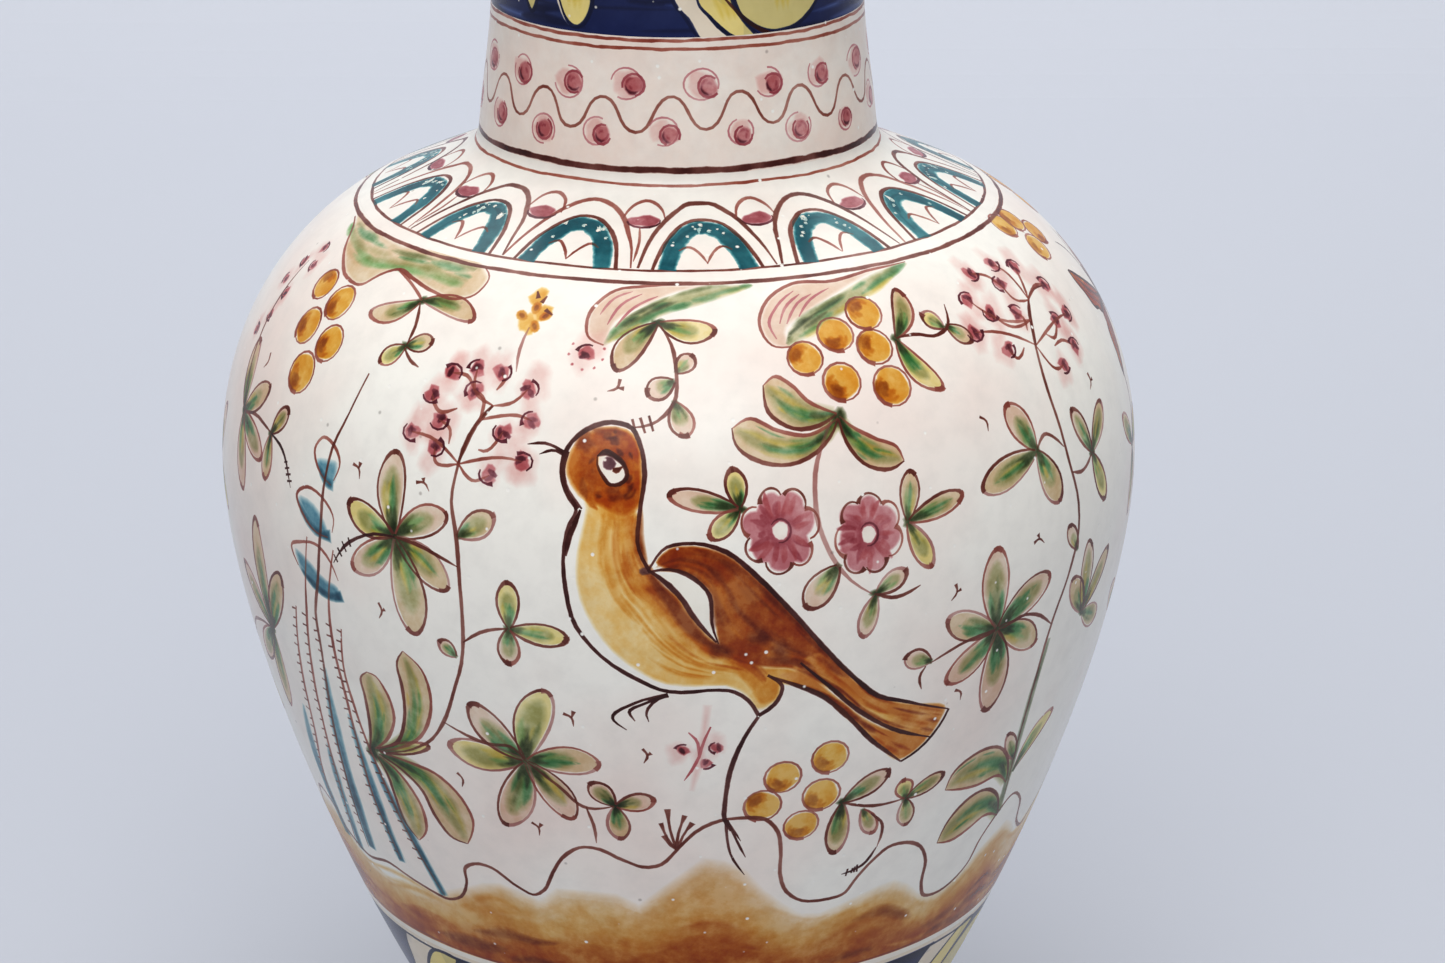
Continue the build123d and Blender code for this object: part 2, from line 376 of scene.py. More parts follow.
class Sheet:
    """A zone of the outer glaze, unrolled: what is painted on it, and its mesh.

    On the unrolled wall a point's x is its angle times the belly's radius, the reach, and its y
    is its height along the wall.  Lengths across are true to size after they are multiplied by
    the wall's own radius over the belly's.  The seam runs up the back, at the angle pi.

    The steps and sags say how far apart points may lie and how far a chord may miss its curve.
    The rest are tolerances: the thinnest part of a line that is kept whole, how near two points
    are made one, how near the seam a point moves onto it, and how near in height two points on
    it are one.
    """

    reach = 120.4
    seam = math.pi * reach
    line_step = 3.6
    line_sag = 0.05
    wash_step = 4.0
    wash_sag = 0.10
    grid_step = 3.4
    grid_sag = 0.02
    back_step = 9.0
    back_sag = 0.06
    thinnest = 0.03
    merge = 0.002
    seam_snap = 0.003
    seam_gap = 0.012
    exact = 1e-4

    def __init__(self, name: str, node: str, low: float, high: float, cuts: tuple[float, ...] = ()) -> None:
        """Starts an empty zone.

        Args:
            name: the piece's name.
            node: the CAD node that it stands for.
            low: height above the ground of its lower edge, in millimetres.
            high: height of its upper edge.
            cuts: heights along the wall at which its mesh is cut into pieces of a handy size.
        """
        self.name, self.node, self.cuts = name, node, cuts
        self.low, self.high = OUTLINE.along_at(low), OUTLINE.along_at(high)
        self.lines: list[Line] = []
        self.washes: list[Wash] = []
        self.turn, self.side = 0.0, 1.0
        self.ground: Ink | None = None

    # -- places

    def on_wall(self, places: list[Place] | Array) -> Array:
        """Points of the unrolled wall from angles in degrees and heights along the wall."""
        at = np.array(places, float).reshape(-1, 2)
        at[:, 0] = np.radians(self.turn + self.side * at[:, 0]) * self.reach
        return at

    def shrink(self, along: Array | float) -> Array:
        """How much narrower than at the belly the wall is at heights along it."""
        return OUTLINE.radius(along) / self.reach

    def beside(self, at: Array, across: Array, up: Array) -> Array:
        """Points a true distance across and up from points of the unrolled wall."""
        return np.stack([at[..., 0] + across / self.shrink(at[..., 1]), at[..., 1] + up], -1)

    def around(self, centre: Array, turn: Array, across: Array | float, up: Array | float) -> Array:
        """Points of an ellipse, or part of one, at angles in radians round a point of the wall."""
        return self.beside(np.repeat(centre, len(turn), 0), across * np.cos(turn), up * np.sin(turn))

    def _heading(self, at: Array, step: Array) -> Array:
        """The true directions, one long, of steps on the unrolled wall that are taken at some points."""
        step = step * np.stack([self.shrink(at[:, 1]), np.ones(len(at))], 1)
        return step / np.maximum(np.hypot(*step.T), 1e-9)[:, None]

    def _abreast(self, at: Array, heading: Array, away: Array | float) -> Array:
        """Points a true distance to the left of others, seen along their headings."""
        return self.beside(at, -heading[:, 1] * away, heading[:, 0] * away)

    # -- lines

    def stroke(self, middle: Array, width: float, ink: Ink, touch: Touch = Touch.EVEN,
               steady: float = 1.0, closed: bool = False) -> None:
        """Draws a line along points of the unrolled wall.

        Args:
            middle: the points, close together.
            width: the line's usual width in millimetres.
            ink: its colour.
            touch: how the width changes along it.
            steady: 1 for the usual tremble of the hand, less for a surer one.
            closed: whether it runs once round the vase, from one seam to the other.
        """
        count = len(middle)
        step = np.gradient(middle, axis=0)
        if closed:
            step[0] = step[-1] = (middle[1] - middle[0] + middle[-1] - middle[-2]) / 2
        heading = self._heading(middle, step)
        run = run_along(middle)
        length, share = float(run[-1]), run / run[-1]
        start, centre, end = touch.value
        press = np.where(share < 0.5, start + (centre - start) * np.minimum(share * 4, 1),
                         centre + (end - centre) * np.clip(share * 4 - 3, 0, 1))
        sway = drift(count, length, 7.0, 0.13) * steady
        if closed:
            sway *= np.minimum(1, np.minimum(share, 1 - share) * 60)
            press[:] = 1.0
        press = press * (1 + drift(count, length, 4.0, 0.16))
        density = 0.9 + drift(count, length, 9.0, 0.22) + 0.12 * (press - 1)
        if closed:
            press[-1], density[-1] = press[0], density[0]
        moved = self._abreast(middle, heading, sway)
        half = 0.6 * width * press
        sides = [self._abreast(moved, heading, way * half) for way in (1, -1)]
        self.lines.append(Line(moved, half, np.clip(density, 0.45, 1.1), ink, *sides))

    def line(self, places: list[Place], width: float = 0.9, ink: Ink = MANGANESE,
             touch: Touch = Touch.EVEN, steady: float = 1.0) -> None:
        """Draws a smooth line through places given as angle and height along the wall."""
        self.stroke(through(self.on_wall(places), self.line_step), width, ink, touch, steady)

    def round_line(self, along: float, width: float, ink: Ink, sway: float = 0.25) -> None:
        """Draws a line round the whole vase at one height along the wall."""
        count = 260
        turn = np.linspace(-math.pi, math.pi, count)
        phase = HAND.uniform(0, 6.28, 3)
        rise = sum(np.sin(k * turn + p) for k, p in zip((2, 5, 9), phase)) * sway / 3
        middle = np.stack([turn * self.reach, along + rise], 1)
        middle[-1, 1] = middle[0, 1]
        self.stroke(middle, width, ink, closed=True)

    # -- washes

    def patch(self, edge: Array, ink: Ink, soft: float = 0.8, far_ink: Ink | None = None,
              near: Array | None = None, far: Array | None = None) -> None:
        """Lays a wash inside a closed edge of points of the unrolled wall."""
        self.washes.append(Wash(edge, soft, ink, far_ink, near, far))

    def blob(self, place: Place, across: float, up: float, ink: Ink, soft: float = 0.8,
             tilt: float = 0.0, ragged: float = 0.06) -> None:
        """Lays a roundish wash: an ellipse whose radius wanders a little.

        Args:
            place: its middle.
            across: half its width in millimetres.
            up: half its height.
            ink: its colour.
            soft: width of its soft edge.
            tilt: turn of its long axis in degrees.
            ragged: share by which the radius wanders.
        """
        count = max(9, int(7.5 * math.sqrt(max(across, up))))
        turn = np.linspace(0, 2 * math.pi, count, endpoint=False)
        wander = 1 + ragged * sum(np.sin(k * turn + HAND.uniform(0, 6.28)) for k in (2, 3, 5)) / 1.6
        x, y = across * np.cos(turn) * wander, up * np.sin(turn) * wander
        lean = math.radians(tilt)
        middle = np.repeat(self.on_wall([place]), count, 0)
        self.patch(self.beside(middle, x * math.cos(lean) - y * math.sin(lean),
                               x * math.sin(lean) + y * math.cos(lean)), ink, soft)

    def area(self, places: list[Place], ink: Ink, soft: float = 0.8, far_ink: Ink | None = None,
             near: Place | None = None, far: Place | None = None) -> None:
        """Lays a wash inside a smooth closed edge through places."""
        points = self.on_wall(places)
        looped = np.concatenate([points[-2:], points, points[:3]])
        span = np.cumsum(np.hypot(*np.diff(looped, axis=0).T))
        curve = through(looped, 0.4, spread=True)
        at = np.linspace(0, span[-1], len(curve))
        loop = curve[(at >= span[1]) & (at <= span[len(points) + 1])]
        edge = even_bends(loop, self.wash_step, self.wash_sag)[:-1]
        ends = [None if p is None else self.on_wall([p])[0] for p in (near, far)]
        self.patch(edge, ink, soft, far_ink, *ends)

    def blade(self, places: list[Place], width: float, ink: Ink, soft: float = 0.7,
              shape: tuple[float, float, float] = (0.3, 1.0, 0.25)) -> None:
        """Presses the brush along a path through places."""
        self.press(through(self.on_wall(places), self.wash_step, self.wash_sag), width, ink, soft, shape)

    def press(self, path: Array, width: float, ink: Ink, soft: float = 0.7,
              shape: tuple[float, float, float] = (0.3, 1.0, 0.25)) -> None:
        """Lays a wash along points of the unrolled wall, as one press of a full brush.

        Args:
            path: the points.
            width: its greatest width in millimetres.
            ink: its colour.
            soft: width of its soft edge.
            shape: shares of the width at its start, middle and end.
        """
        path = path[np.r_[True, np.hypot(*np.diff(path, axis=0).T) > 0.2]]
        if len(path) < 2:
            return
        heading = self._heading(path, np.gradient(path, axis=0))
        run = run_along(path)
        share = run / run[-1]
        start, centre, end = shape
        swell = np.sin(math.pi * share) ** 0.7
        half = width / 2 * (centre * swell + (start * (1 - share) + end * share) * (1 - swell))
        half = half * (1 + drift(len(path), width * 6, width, 0.12))
        left, right = (self._abreast(path, heading, way * half) for way in (1, -1))
        narrow = soft > 0.35 * width
        self.washes.append(Wash(np.concatenate([left, right[::-1]]), soft, ink, spine=path if narrow else None))

    def level_band(self, low: float, high: float, ink: Ink, soft: float = 0.5) -> None:
        """Lays a wash round the whole vase between two heights along the wall."""
        x = np.linspace(-1.1, 1.1, 200) * math.pi * self.reach
        edge = np.concatenate([np.stack([x, np.full(len(x), high)], 1), np.stack([x[::-1], np.full(len(x), low)], 1)])
        self.patch(edge, ink, soft)

    # -- the mesh

    def _round_the_seam(self) -> None:
        """Adds a copy, a turn away, of every stroke that reaches over the seam at the back."""
        whole = 2 * math.pi * self.reach
        for kind, key in ((self.lines, "middle"), (self.washes, "edge")):
            found = []
            for item in kind:
                x = getattr(item, key)[:, 0]
                for shift in (-whole, 0, whole):
                    if x.max() + shift > -whole / 2 - 4 and x.min() + shift < whole / 2 + 4:
                        if shift and x.max() - x.min() > whole - 1:
                            continue
                        moved = {name: value + [shift, 0] for name, value in vars(item).items()
                                 if isinstance(value, np.ndarray) and value.shape[-1:] == (2,)
                                 and name not in ("half", "density")}
                        found.append(type(item)(**{**vars(item), **moved}))
            kind[:] = found

    @staticmethod
    def _rows(low: float, high: float, longest: float, sag: float) -> Array:
        """Heights along the wall for rows of points, nearer to each other where the wall bends."""
        inside = (OUTLINE.along > low) & (OUTLINE.along < high)
        along = np.r_[low, OUTLINE.along[inside], high]
        wall = np.stack([OUTLINE.radius(along), np.interp(along, OUTLINE.along, OUTLINE.heights)], 1)
        kept = even_bends(wall, longest, sag)
        share = run_along(kept)
        return low + (high - low) * share / share[-1]

    def _plot(self) -> tuple[Array, Array, Array]:
        """Everything that the mesh has to follow: points, edges and the quads along each line."""
        points, edges, quads = [], [], []
        count = 0
        for line in self.lines:
            points += [line.left, line.right]
            size = len(line.middle)
            low = count + size + np.arange(size - 1)
            quads.append(np.stack([low, low + 1, low + 1 - size, low - size], 1))
            count += 2 * size
        for wash in self.washes:
            ring = wash.edge
            if wash.spine is None:
                turn = np.sign(np.sum(ring[:, 0] * np.roll(ring[:, 1], -1) - np.roll(ring[:, 0], -1) * ring[:, 1]))
                heading = self._heading(ring, np.roll(ring, -1, 0) - np.roll(ring, 1, 0))
                inner = self._abreast(ring, heading, turn * wash.soft)
            else:
                inner = wash.spine[1:-1] if len(wash.spine) > 3 else wash.spine
            for chain, closed in ((ring, True), (inner, wash.spine is None)):
                at = count + np.arange(len(chain))
                points.append(chain)
                edges.append(np.stack([at, np.roll(at, -1)], 1)[:len(at) if closed else -1])
                count += len(at)
        width = float(self.shrink(self.low / 2 + self.high / 2))
        columns = int(2 * self.seam * width / self.grid_step)
        levels = [self.low, *self.cuts, self.high]
        rows = [self._rows(a, b, self.grid_step, self.grid_sag)[:-1] for a, b in zip(levels, levels[1:])]
        rows = np.r_[np.concatenate(rows), self.high]
        for row, along in enumerate(rows):
            bound = along in levels
            x = np.linspace(-self.seam, self.seam, columns + 1)
            if row % 2 and not bound:
                x[1:-1] += self.seam / columns
                x = np.delete(x, -2)
            points.append(np.stack([x, np.full(len(x), along)], 1))
            index = count + np.arange(len(x))
            if bound:
                edges.append(np.stack([index[:-1], index[1:]], 1))
            if row:
                edges.append(np.array([[first, index[0]], [last, index[-1]]]))
            first, last = index[0], index[-1]
            count += len(x)
        return np.concatenate(points), np.concatenate(edges), np.concatenate(quads)

    @staticmethod
    def _upright(points: Array, quads: Array) -> tuple[list[list[int]], Array]:
        """The quads along the lines as faces that all turn the same way.

        Where a line bends tighter than it is wide its quads fold over, so there each is given as
        its two triangles, turned back where they face away.

        Args:
            points: the points of the unrolled wall.
            quads: four points for each quad.

        Returns:
            The faces and the number of the quad that each came from.
        """
        halves = np.stack([quads[:, [0, 1, 2]], quads[:, [0, 2, 3]]], 1)
        a, b, c = (points[halves[..., i]] for i in range(3))
        size = (b[..., 0] - a[..., 0]) * (c[..., 1] - a[..., 1]) - (c[..., 0] - a[..., 0]) * (b[..., 1] - a[..., 1])
        size = size / np.maximum.reduce([np.linalg.norm(p - q, axis=2) for p, q in ((a, b), (b, c), (c, a))])
        whole = (size > Sheet.thinnest).all(1)
        faces = quads[whole].tolist()
        owner = [np.flatnonzero(whole)]
        for side in (0, 1):
            for way in (1, -1):
                picked = (way * size[:, side] > Sheet.thinnest) & ~whole
                faces += halves[picked, side][:, ::way].tolist()
                owner.append(np.flatnonzero(picked))
        return faces, np.concatenate(owner)

    def _triangles(self) -> tuple[Array, Array, Array, Array]:
        """Cuts the zone into triangles along every stroke.

        Returns:
            The points, the triangles, and for each meeting of a triangle with a line's quad the
            number of the triangle and of the quad.
        """
        points, edges, quads = self._plot()
        parts, part_quad = self._upright(points, quads)
        made = delaunay_2d_cdt([Vector(p) for p in points.tolist()], edges.tolist(), parts, 0, self.merge, True)
        at = np.array([tuple(v) for v in made[0]])
        faces = np.array(made[2])
        on_seam = np.abs(np.abs(at[:, 0]) - self.seam) < self.seam_snap
        at[on_seam, 0] = np.sign(at[on_seam, 0]) * self.seam
        at, faces, source = self._matched(at, faces)
        middle = at[faces].mean(1)
        keep = (np.abs(middle[:, 0]) < self.seam) & (middle[:, 1] > self.low) & (middle[:, 1] < self.high)
        origin = [made[5][f] for f in source]
        sizes = np.fromiter((len(f) for f in origin), int, len(faces))
        owner = np.repeat(np.arange(len(faces)), sizes)
        quad = part_quad[np.fromiter((q for f in origin for q in f), int, int(sizes.sum()))]
        number = np.cumsum(keep) - 1
        held = keep[owner]
        return at, faces[keep], number[owner[held]], quad[held]

    def _matched(self, at: Array, faces: Array) -> tuple[Array, Array, Array]:
        """Splits triangles on the seam until its two sides have points at the same heights.

        Args:
            at: the points.
            faces: the triangles.

        Returns:
            The points, the triangles, and the number of the triangle that each was cut from.
        """
        source = np.arange(len(faces))
        for side in (-self.seam, self.seam):
            own = np.abs(at[:, 0] - side) < self.exact
            there = at[np.abs(at[:, 0] + side) < self.exact, 1]
            missing = [y for y in np.unique(there) if np.abs(at[own, 1] - y).min() > self.seam_gap]
            added = len(at) + np.arange(len(missing))
            at = np.concatenate([at, np.array([(side, y) for y in missing]).reshape(-1, 2)])
            own = np.r_[own, np.ones(len(missing), bool)]
            for number, y in zip(added, missing):
                for face in np.flatnonzero(own[faces].sum(1) == 2):
                    corners = np.roll(faces[face], -int(np.flatnonzero(~own[faces[face]])[0]))
                    top, a, b = corners
                    if min(at[a, 1], at[b, 1]) < y < max(at[a, 1], at[b, 1]):
                        faces[face] = (top, a, number)
                        faces = np.concatenate([faces, [(top, number, b)]])
                        source = np.r_[source, source[face]]
        return at, faces, source

    def _washed(self, at: Array) -> Array:
        """The washes' depth times its cover, and the cover, at points of the unrolled wall.

        A wash covers a point by its distance inside the edge over the softness, at most all of
        it; the washes are laid over each other in order.
        """
        cover = np.zeros((len(at), 4))
        if self.ground:
            cover[:] = (*(self.ground.depth * self.ground.strength), self.ground.strength)
        by_side = np.argsort(at[:, 0])
        across = at[by_side, 0]
        for wash in self.washes:
            ring = wash.edge
            low, high = ring.min(0) - 0.01, ring.max(0) + 0.01
            near = by_side[slice(*np.searchsorted(across, (low[0], high[0])))]
            near = near[(at[near, 1] >= low[1]) & (at[near, 1] <= high[1])]
            if not len(near):
                continue
            scale = np.array([float(self.shrink(ring[:, 1].mean())), 1.0])
            start, point = ring * scale, at[near] * scale
            side = np.roll(start, -1, 0) - start
            gap = point[:, None] - start
            reach = np.clip((gap * side).sum(2) / np.maximum((side ** 2).sum(1), 1e-12), 0, 1)
            away = np.hypot(*np.moveaxis(gap - reach[..., None] * side, 2, 0)).min(1)
            above = start[:, 1] > point[:, 1, None]
            crosses = above != np.roll(above, -1, 1)
            with np.errstate(divide="ignore", invalid="ignore"):
                x = start[:, 0] + (point[:, 1, None] - start[:, 1]) / side[:, 1] * side[:, 0]
            inside = (crosses & (point[:, 0, None] < x)).sum(1) % 2 == 1
            share = np.where(inside, np.clip(away / wash.soft, 0, 1), 0.0) * wash.ink.strength
            color = np.repeat([wash.ink.depth], len(near), 0)
            if wash.far_ink:
                run = wash.far - wash.near
                t = np.clip(((at[near] - wash.near) @ run) / (run @ run), 0, 1)[:, None]
                color = color * (1 - t) + wash.far_ink.depth * t
                share = share * (1 + (wash.far_ink.strength / wash.ink.strength - 1) * t[:, 0])
            cover[near] = (cover[near] * (1 - share[:, None])
                           + np.concatenate([color, np.ones((len(near), 1))], 1) * share[:, None])
        return cover

    def _lined(self, at: Array, faces: Array, owner: Array, quad: Array) -> tuple[Array, Array]:
        """The lines' depth and cover at each corner of each triangle, and the place across them.

        A corner's place across a line is its distance from the quad's middle over the half
        width there, from -1 to 1.  Lines that cross are laid over each other in order.
        """
        color = np.zeros((len(faces), 3, 4))
        edge = np.ones((len(faces), 3))
        if not len(quad):
            return color, edge
        sizes = [len(line.middle) for line in self.lines]
        line_of = np.repeat(np.arange(len(sizes)), np.array(sizes) - 1)
        stack = {key: [getattr(line, key) for line in self.lines] for key in ("middle", "half", "density")}
        low = {key: np.concatenate([v[:-1] for v in values]) for key, values in stack.items()}
        high = {key: np.concatenate([v[1:] for v in values]) for key, values in stack.items()}
        centre = at[faces[owner]].mean(1) - (low["middle"][quad] + high["middle"][quad]) / 2
        room = np.hypot(*(high["middle"][quad] - low["middle"][quad]).T) / 2 + 2.6 * low["half"][quad] + 0.3
        close = np.hypot(*centre.T) < room
        owner, quad = owner[close], quad[close]
        order = np.lexsort((quad, line_of[quad], owner))
        owner, quad = owner[order], quad[order]
        first = np.r_[True, (np.diff(owner) != 0) | (np.diff(line_of[quad]) != 0)]
        owner, quad = owner[first], quad[first]
        scale = np.stack([self.shrink(low["middle"][quad, 1]), np.ones(len(quad))], 1)
        axis = (high["middle"][quad] - low["middle"][quad]) * scale
        span = np.maximum(np.hypot(*axis.T), 1e-9)
        gap = (at[faces[owner]] - low["middle"][quad][:, None]) * scale[:, None]
        t = np.clip((gap * axis[:, None]).sum(2) / span[:, None] ** 2, 0, 1)
        half = low["half"][quad][:, None] * (1 - t) + high["half"][quad][:, None] * t
        offset = (gap[..., 0] * axis[:, None, 1] - gap[..., 1] * axis[:, None, 0]) / span[:, None] / half
        density = low["density"][quad][:, None] * (1 - t) + high["density"][quad][:, None] * t
        inks = np.array([(*line.ink.depth, line.ink.strength) for line in self.lines])[line_of[quad]]
        starts = np.flatnonzero(np.r_[True, np.diff(owner) != 0])
        rank = np.arange(len(owner)) - np.repeat(starts, np.diff(np.r_[starts, len(owner)]))
        for layer in range(int(rank.max()) + 1):
            at_layer = np.flatnonzero(rank == layer)
            face = owner[at_layer]
            share = np.clip(inks[at_layer, 3:] * density[at_layer], 0, 0.97)
            laid = np.concatenate([np.repeat(inks[at_layer, None, :3], 3, 1), np.ones((len(face), 3, 1))], 2)
            color[face] = color[face] * (1 - share[..., None]) + laid * share[..., None]
            edge[face] = np.clip(offset[at_layer], -1, 1) * (layer == 0)
        return color, edge

    def build(self) -> list[bpy.types.Object]:
        """Makes the zone's skin: its painted face, its back against the clay and its two rims.

        Both faces are the wall's own surface, and the back lies the skin's thickness deeper.

        Returns:
            One piece, or one for each part between the cuts.
        """
        self._round_the_seam()
        at, faces, owner, quad = self._triangles()
        line_color, line_edge = self._lined(at, faces, owner, quad)
        wash = self._washed(at)
        levels = [self.low, *self.cuts, self.high]
        middle = at[faces][..., 1].mean(1)
        pieces = []
        for number, (low, high) in enumerate(zip(levels, levels[1:]), 1):
            name = f"{self.name}_{number}" if self.cuts else self.name
            held = (middle > low) & (middle < high)
            used, inner = np.unique(faces[held], return_inverse=True)
            pieces.append(self._skin(name, low, high, at[used], inner.reshape(-1, 3), wash[used],
                                     line_color[held], line_edge[held]))
        LOG.info("%s: %d lines, %d washes", self.name, len(self.lines), len(self.washes))
        return pieces

    def _skin(self, name: str, low: float, high: float, at: Array, faces: Array, wash: Array,
              line_color: Array, line_edge: Array) -> bpy.types.Object:
        """One closed piece of the skin between two heights along the wall."""
        sides = np.sort(faces[:, [0, 1, 1, 2, 2, 0]].reshape(-1, 2), 1)
        sides, uses = np.unique(sides, axis=0, return_counts=True)
        open_sides = sides[uses == 1]
        rims = []
        for height in (low, high):
            rim = np.unique(open_sides[(np.abs(at[open_sides, 1] - height) < 0.01).all(1)])
            at[rim, 1] = height
            rims.append(rim[np.argsort(at[rim, 0])])
        back_at, back_faces = self._back(at[rims[0]], at[rims[1]])
        base = len(at)
        joins = []
        for rim, start, way in ((rims[0], base, 1), (rims[1], base + len(rims[0]), -1)):
            back_rim = start + np.arange(len(rim))
            ends = [rim[:-1], rim[1:], back_rim[1:], back_rim[:-1]]
            a, b, c, d = ends if way < 0 else ends[::-1]
            joins += [np.stack([a, b, c], 1), np.stack([a, c, d], 1)]
        joins = np.concatenate(joins)
        every = np.concatenate([at, back_at])
        behind = np.arange(len(every)) >= base
        target = self._across_the_seam(every, behind)
        whole = [(np.diff(np.sort(target[part], 1), axis=1) > 0).all(1) for part in
                 (faces, back_faces + base, joins)]
        faces, line_color, line_edge = faces[whole[0]], line_color[whole[0]], line_edge[whole[0]]
        back_faces, joins = back_faces[whole[1]], joins[whole[2]]
        corners = np.concatenate([faces, back_faces[:, ::-1] + base, joins])
        points, normals = OUTLINE.place(every[:, 0] / self.reach, every[:, 1], behind * OUTLINE.skin)
        loop_normals = normals[corners]
        first_join = len(faces) + len(back_faces)
        loop_normals[len(faces):first_join] *= -1
        rim_faces = points[corners[first_join:]]
        flat = np.cross(rim_faces[:, 1] - rim_faces[:, 0], rim_faces[:, 2] - rim_faces[:, 0])
        flat /= np.maximum(np.linalg.norm(flat, axis=1), 1e-15)[:, None]
        loop_normals[first_join:] = flat[:, None]
        piece, kept = self._mesh(name, points, target, corners, loop_normals)
        spare = len(corners) - len(faces)
        self._paint(piece.data, {("wash", "POINT"): np.concatenate([wash, np.zeros((len(back_at), 4))])[kept],
                                 ("line", "CORNER"): np.concatenate([line_color, np.zeros((spare, 3, 4))]),
                                 ("edge", "CORNER"): np.concatenate([line_edge, np.ones((spare, 3))])})
        self._unroll(piece.data, every, corners, len(faces), low, high)
        LOG.info("%s: %d triangles", name, len(corners))
        return piece

    @staticmethod
    def _paint(mesh: bpy.types.Mesh, layers: dict[tuple[str, str], Array]) -> None:
        """Puts the painting on a mesh: colours or single values for each name and kind of place."""
        for (name, domain), values in layers.items():
            colored = values.shape[-1] == 4
            layer = mesh.attributes.new(name, "FLOAT_COLOR" if colored else "FLOAT", domain)
            layer.data.foreach_set("color" if colored else "value", np.ascontiguousarray(values, np.float32).ravel())

    def _back(self, low_rim: Array, high_rim: Array) -> tuple[Array, Array]:
        """The points and triangles of the skin's back: the rims' points and a coarse grid."""
        x = np.linspace(-self.seam, self.seam, int(2 * self.seam / self.back_step) + 1)
        y = self._rows(low_rim[0, 1], high_rim[0, 1], self.back_step, self.back_sag)[1:-1]
        inner = np.stack(np.meshgrid(x, y), 2).reshape(-1, 2)
        points = np.concatenate([low_rim, high_rim, inner])
        first = len(low_rim)
        index = first + len(high_rim) + np.arange(len(inner)).reshape(len(y), len(x))
        edges = [np.stack([np.arange(first - 1), np.arange(1, first)], 1),
                 first + np.stack([np.arange(len(high_rim) - 1), np.arange(1, len(high_rim))], 1)]
        for side, low_end, high_end in ((0, 0, first), (-1, first - 1, first + len(high_rim) - 1)):
            chain = np.r_[low_end, index[:, side], high_end]
            edges.append(np.stack([chain[:-1], chain[1:]], 1))
        made = delaunay_2d_cdt([Vector(p) for p in points.tolist()], np.concatenate(edges).tolist(), [], 0, 1e-5, True)
        order = np.array([ids[0] for ids in made[3]])
        return points, order[np.array(made[2])]

    def _across_the_seam(self, every: Array, behind: Array) -> Array:
        """Which point stands for each one, with those that meet on the seam made one.

        Args:
            every: points of the unrolled wall.
            behind: whether each is on the skin's back.
        """
        target = np.arange(len(every))
        on_seam = np.abs(np.abs(every[:, 0]) - self.seam) < self.exact
        for layer in (behind, ~behind):
            found = np.flatnonzero(on_seam & layer)
            found = found[np.argsort(every[found, 1], kind="stable")]
            group = np.cumsum(np.r_[0, np.diff(every[found, 1]) > self.seam_gap])
            target[found] = found[np.searchsorted(group, group)]
        return target

    @staticmethod
    def _mesh(name: str, points: Array, target: Array, corners: Array,
              loop_normals: Array) -> tuple[bpy.types.Object, Array]:
        """The mesh object, made of the points that stand for the others, and which those are."""
        kept, target = np.unique(target, return_inverse=True)
        corners = target.reshape(-1)[corners]
        mesh = bpy.data.meshes.new(name)
        mesh.vertices.add(len(kept))
        mesh.vertices.foreach_set("co", points[kept].astype(np.float32).ravel())
        mesh.loops.add(corners.size)
        mesh.loops.foreach_set("vertex_index", corners.astype(np.int32).ravel())
        mesh.polygons.add(len(corners))
        mesh.polygons.foreach_set("loop_start", np.arange(0, corners.size, 3, dtype=np.int32))
        mesh.update(calc_edges=True)
        mesh.normals_split_custom_set(loop_normals.reshape(-1, 3).tolist())
        piece = bpy.data.objects.new(name, mesh)
        bpy.context.scene.collection.objects.link(piece)
        return piece, kept

    def _unroll(self, mesh: bpy.types.Mesh, every: Array, corners: Array, painted: int,
                low: float, high: float) -> None:
        """A UV map of the unrolled zone: the front half above the back half, then the skin's back."""
        x = (every[:, 0] + self.seam) / (2 * self.seam)
        y = (every[:, 1] - low) / (high - low)
        uv = np.stack([x, y], 1)[corners]
        margin, tall, lower, upper = 0.01, 0.46, 0.06, 0.53
        behind = (np.abs(uv[:painted, :, 0].mean(1) - 0.5) > 0.25)[:, None]
        u = uv[:painted, :, 0]
        u = np.where(behind, np.where(u.mean(1, keepdims=True) > 0.5, u - 0.75, u + 0.25), u - 0.25)
        uv[:painted, :, 0] = margin + 2 * (1 - 2 * margin) * u
        uv[:painted, :, 1] = np.where(behind, lower, upper) + tall * uv[:painted, :, 1]
        uv[painted:, :, 0] = margin + (1 - 2 * margin) * uv[painted:, :, 0]
        uv[painted:, :, 1] = margin / 2 + (lower - 2 * margin) * uv[painted:, :, 1]
        layer = mesh.uv_layers.new(name="OFBake", do_init=False)
        layer.data.foreach_set("uv", uv.astype(np.float32).ravel())


# ------------------------------------------------------------------ motifs


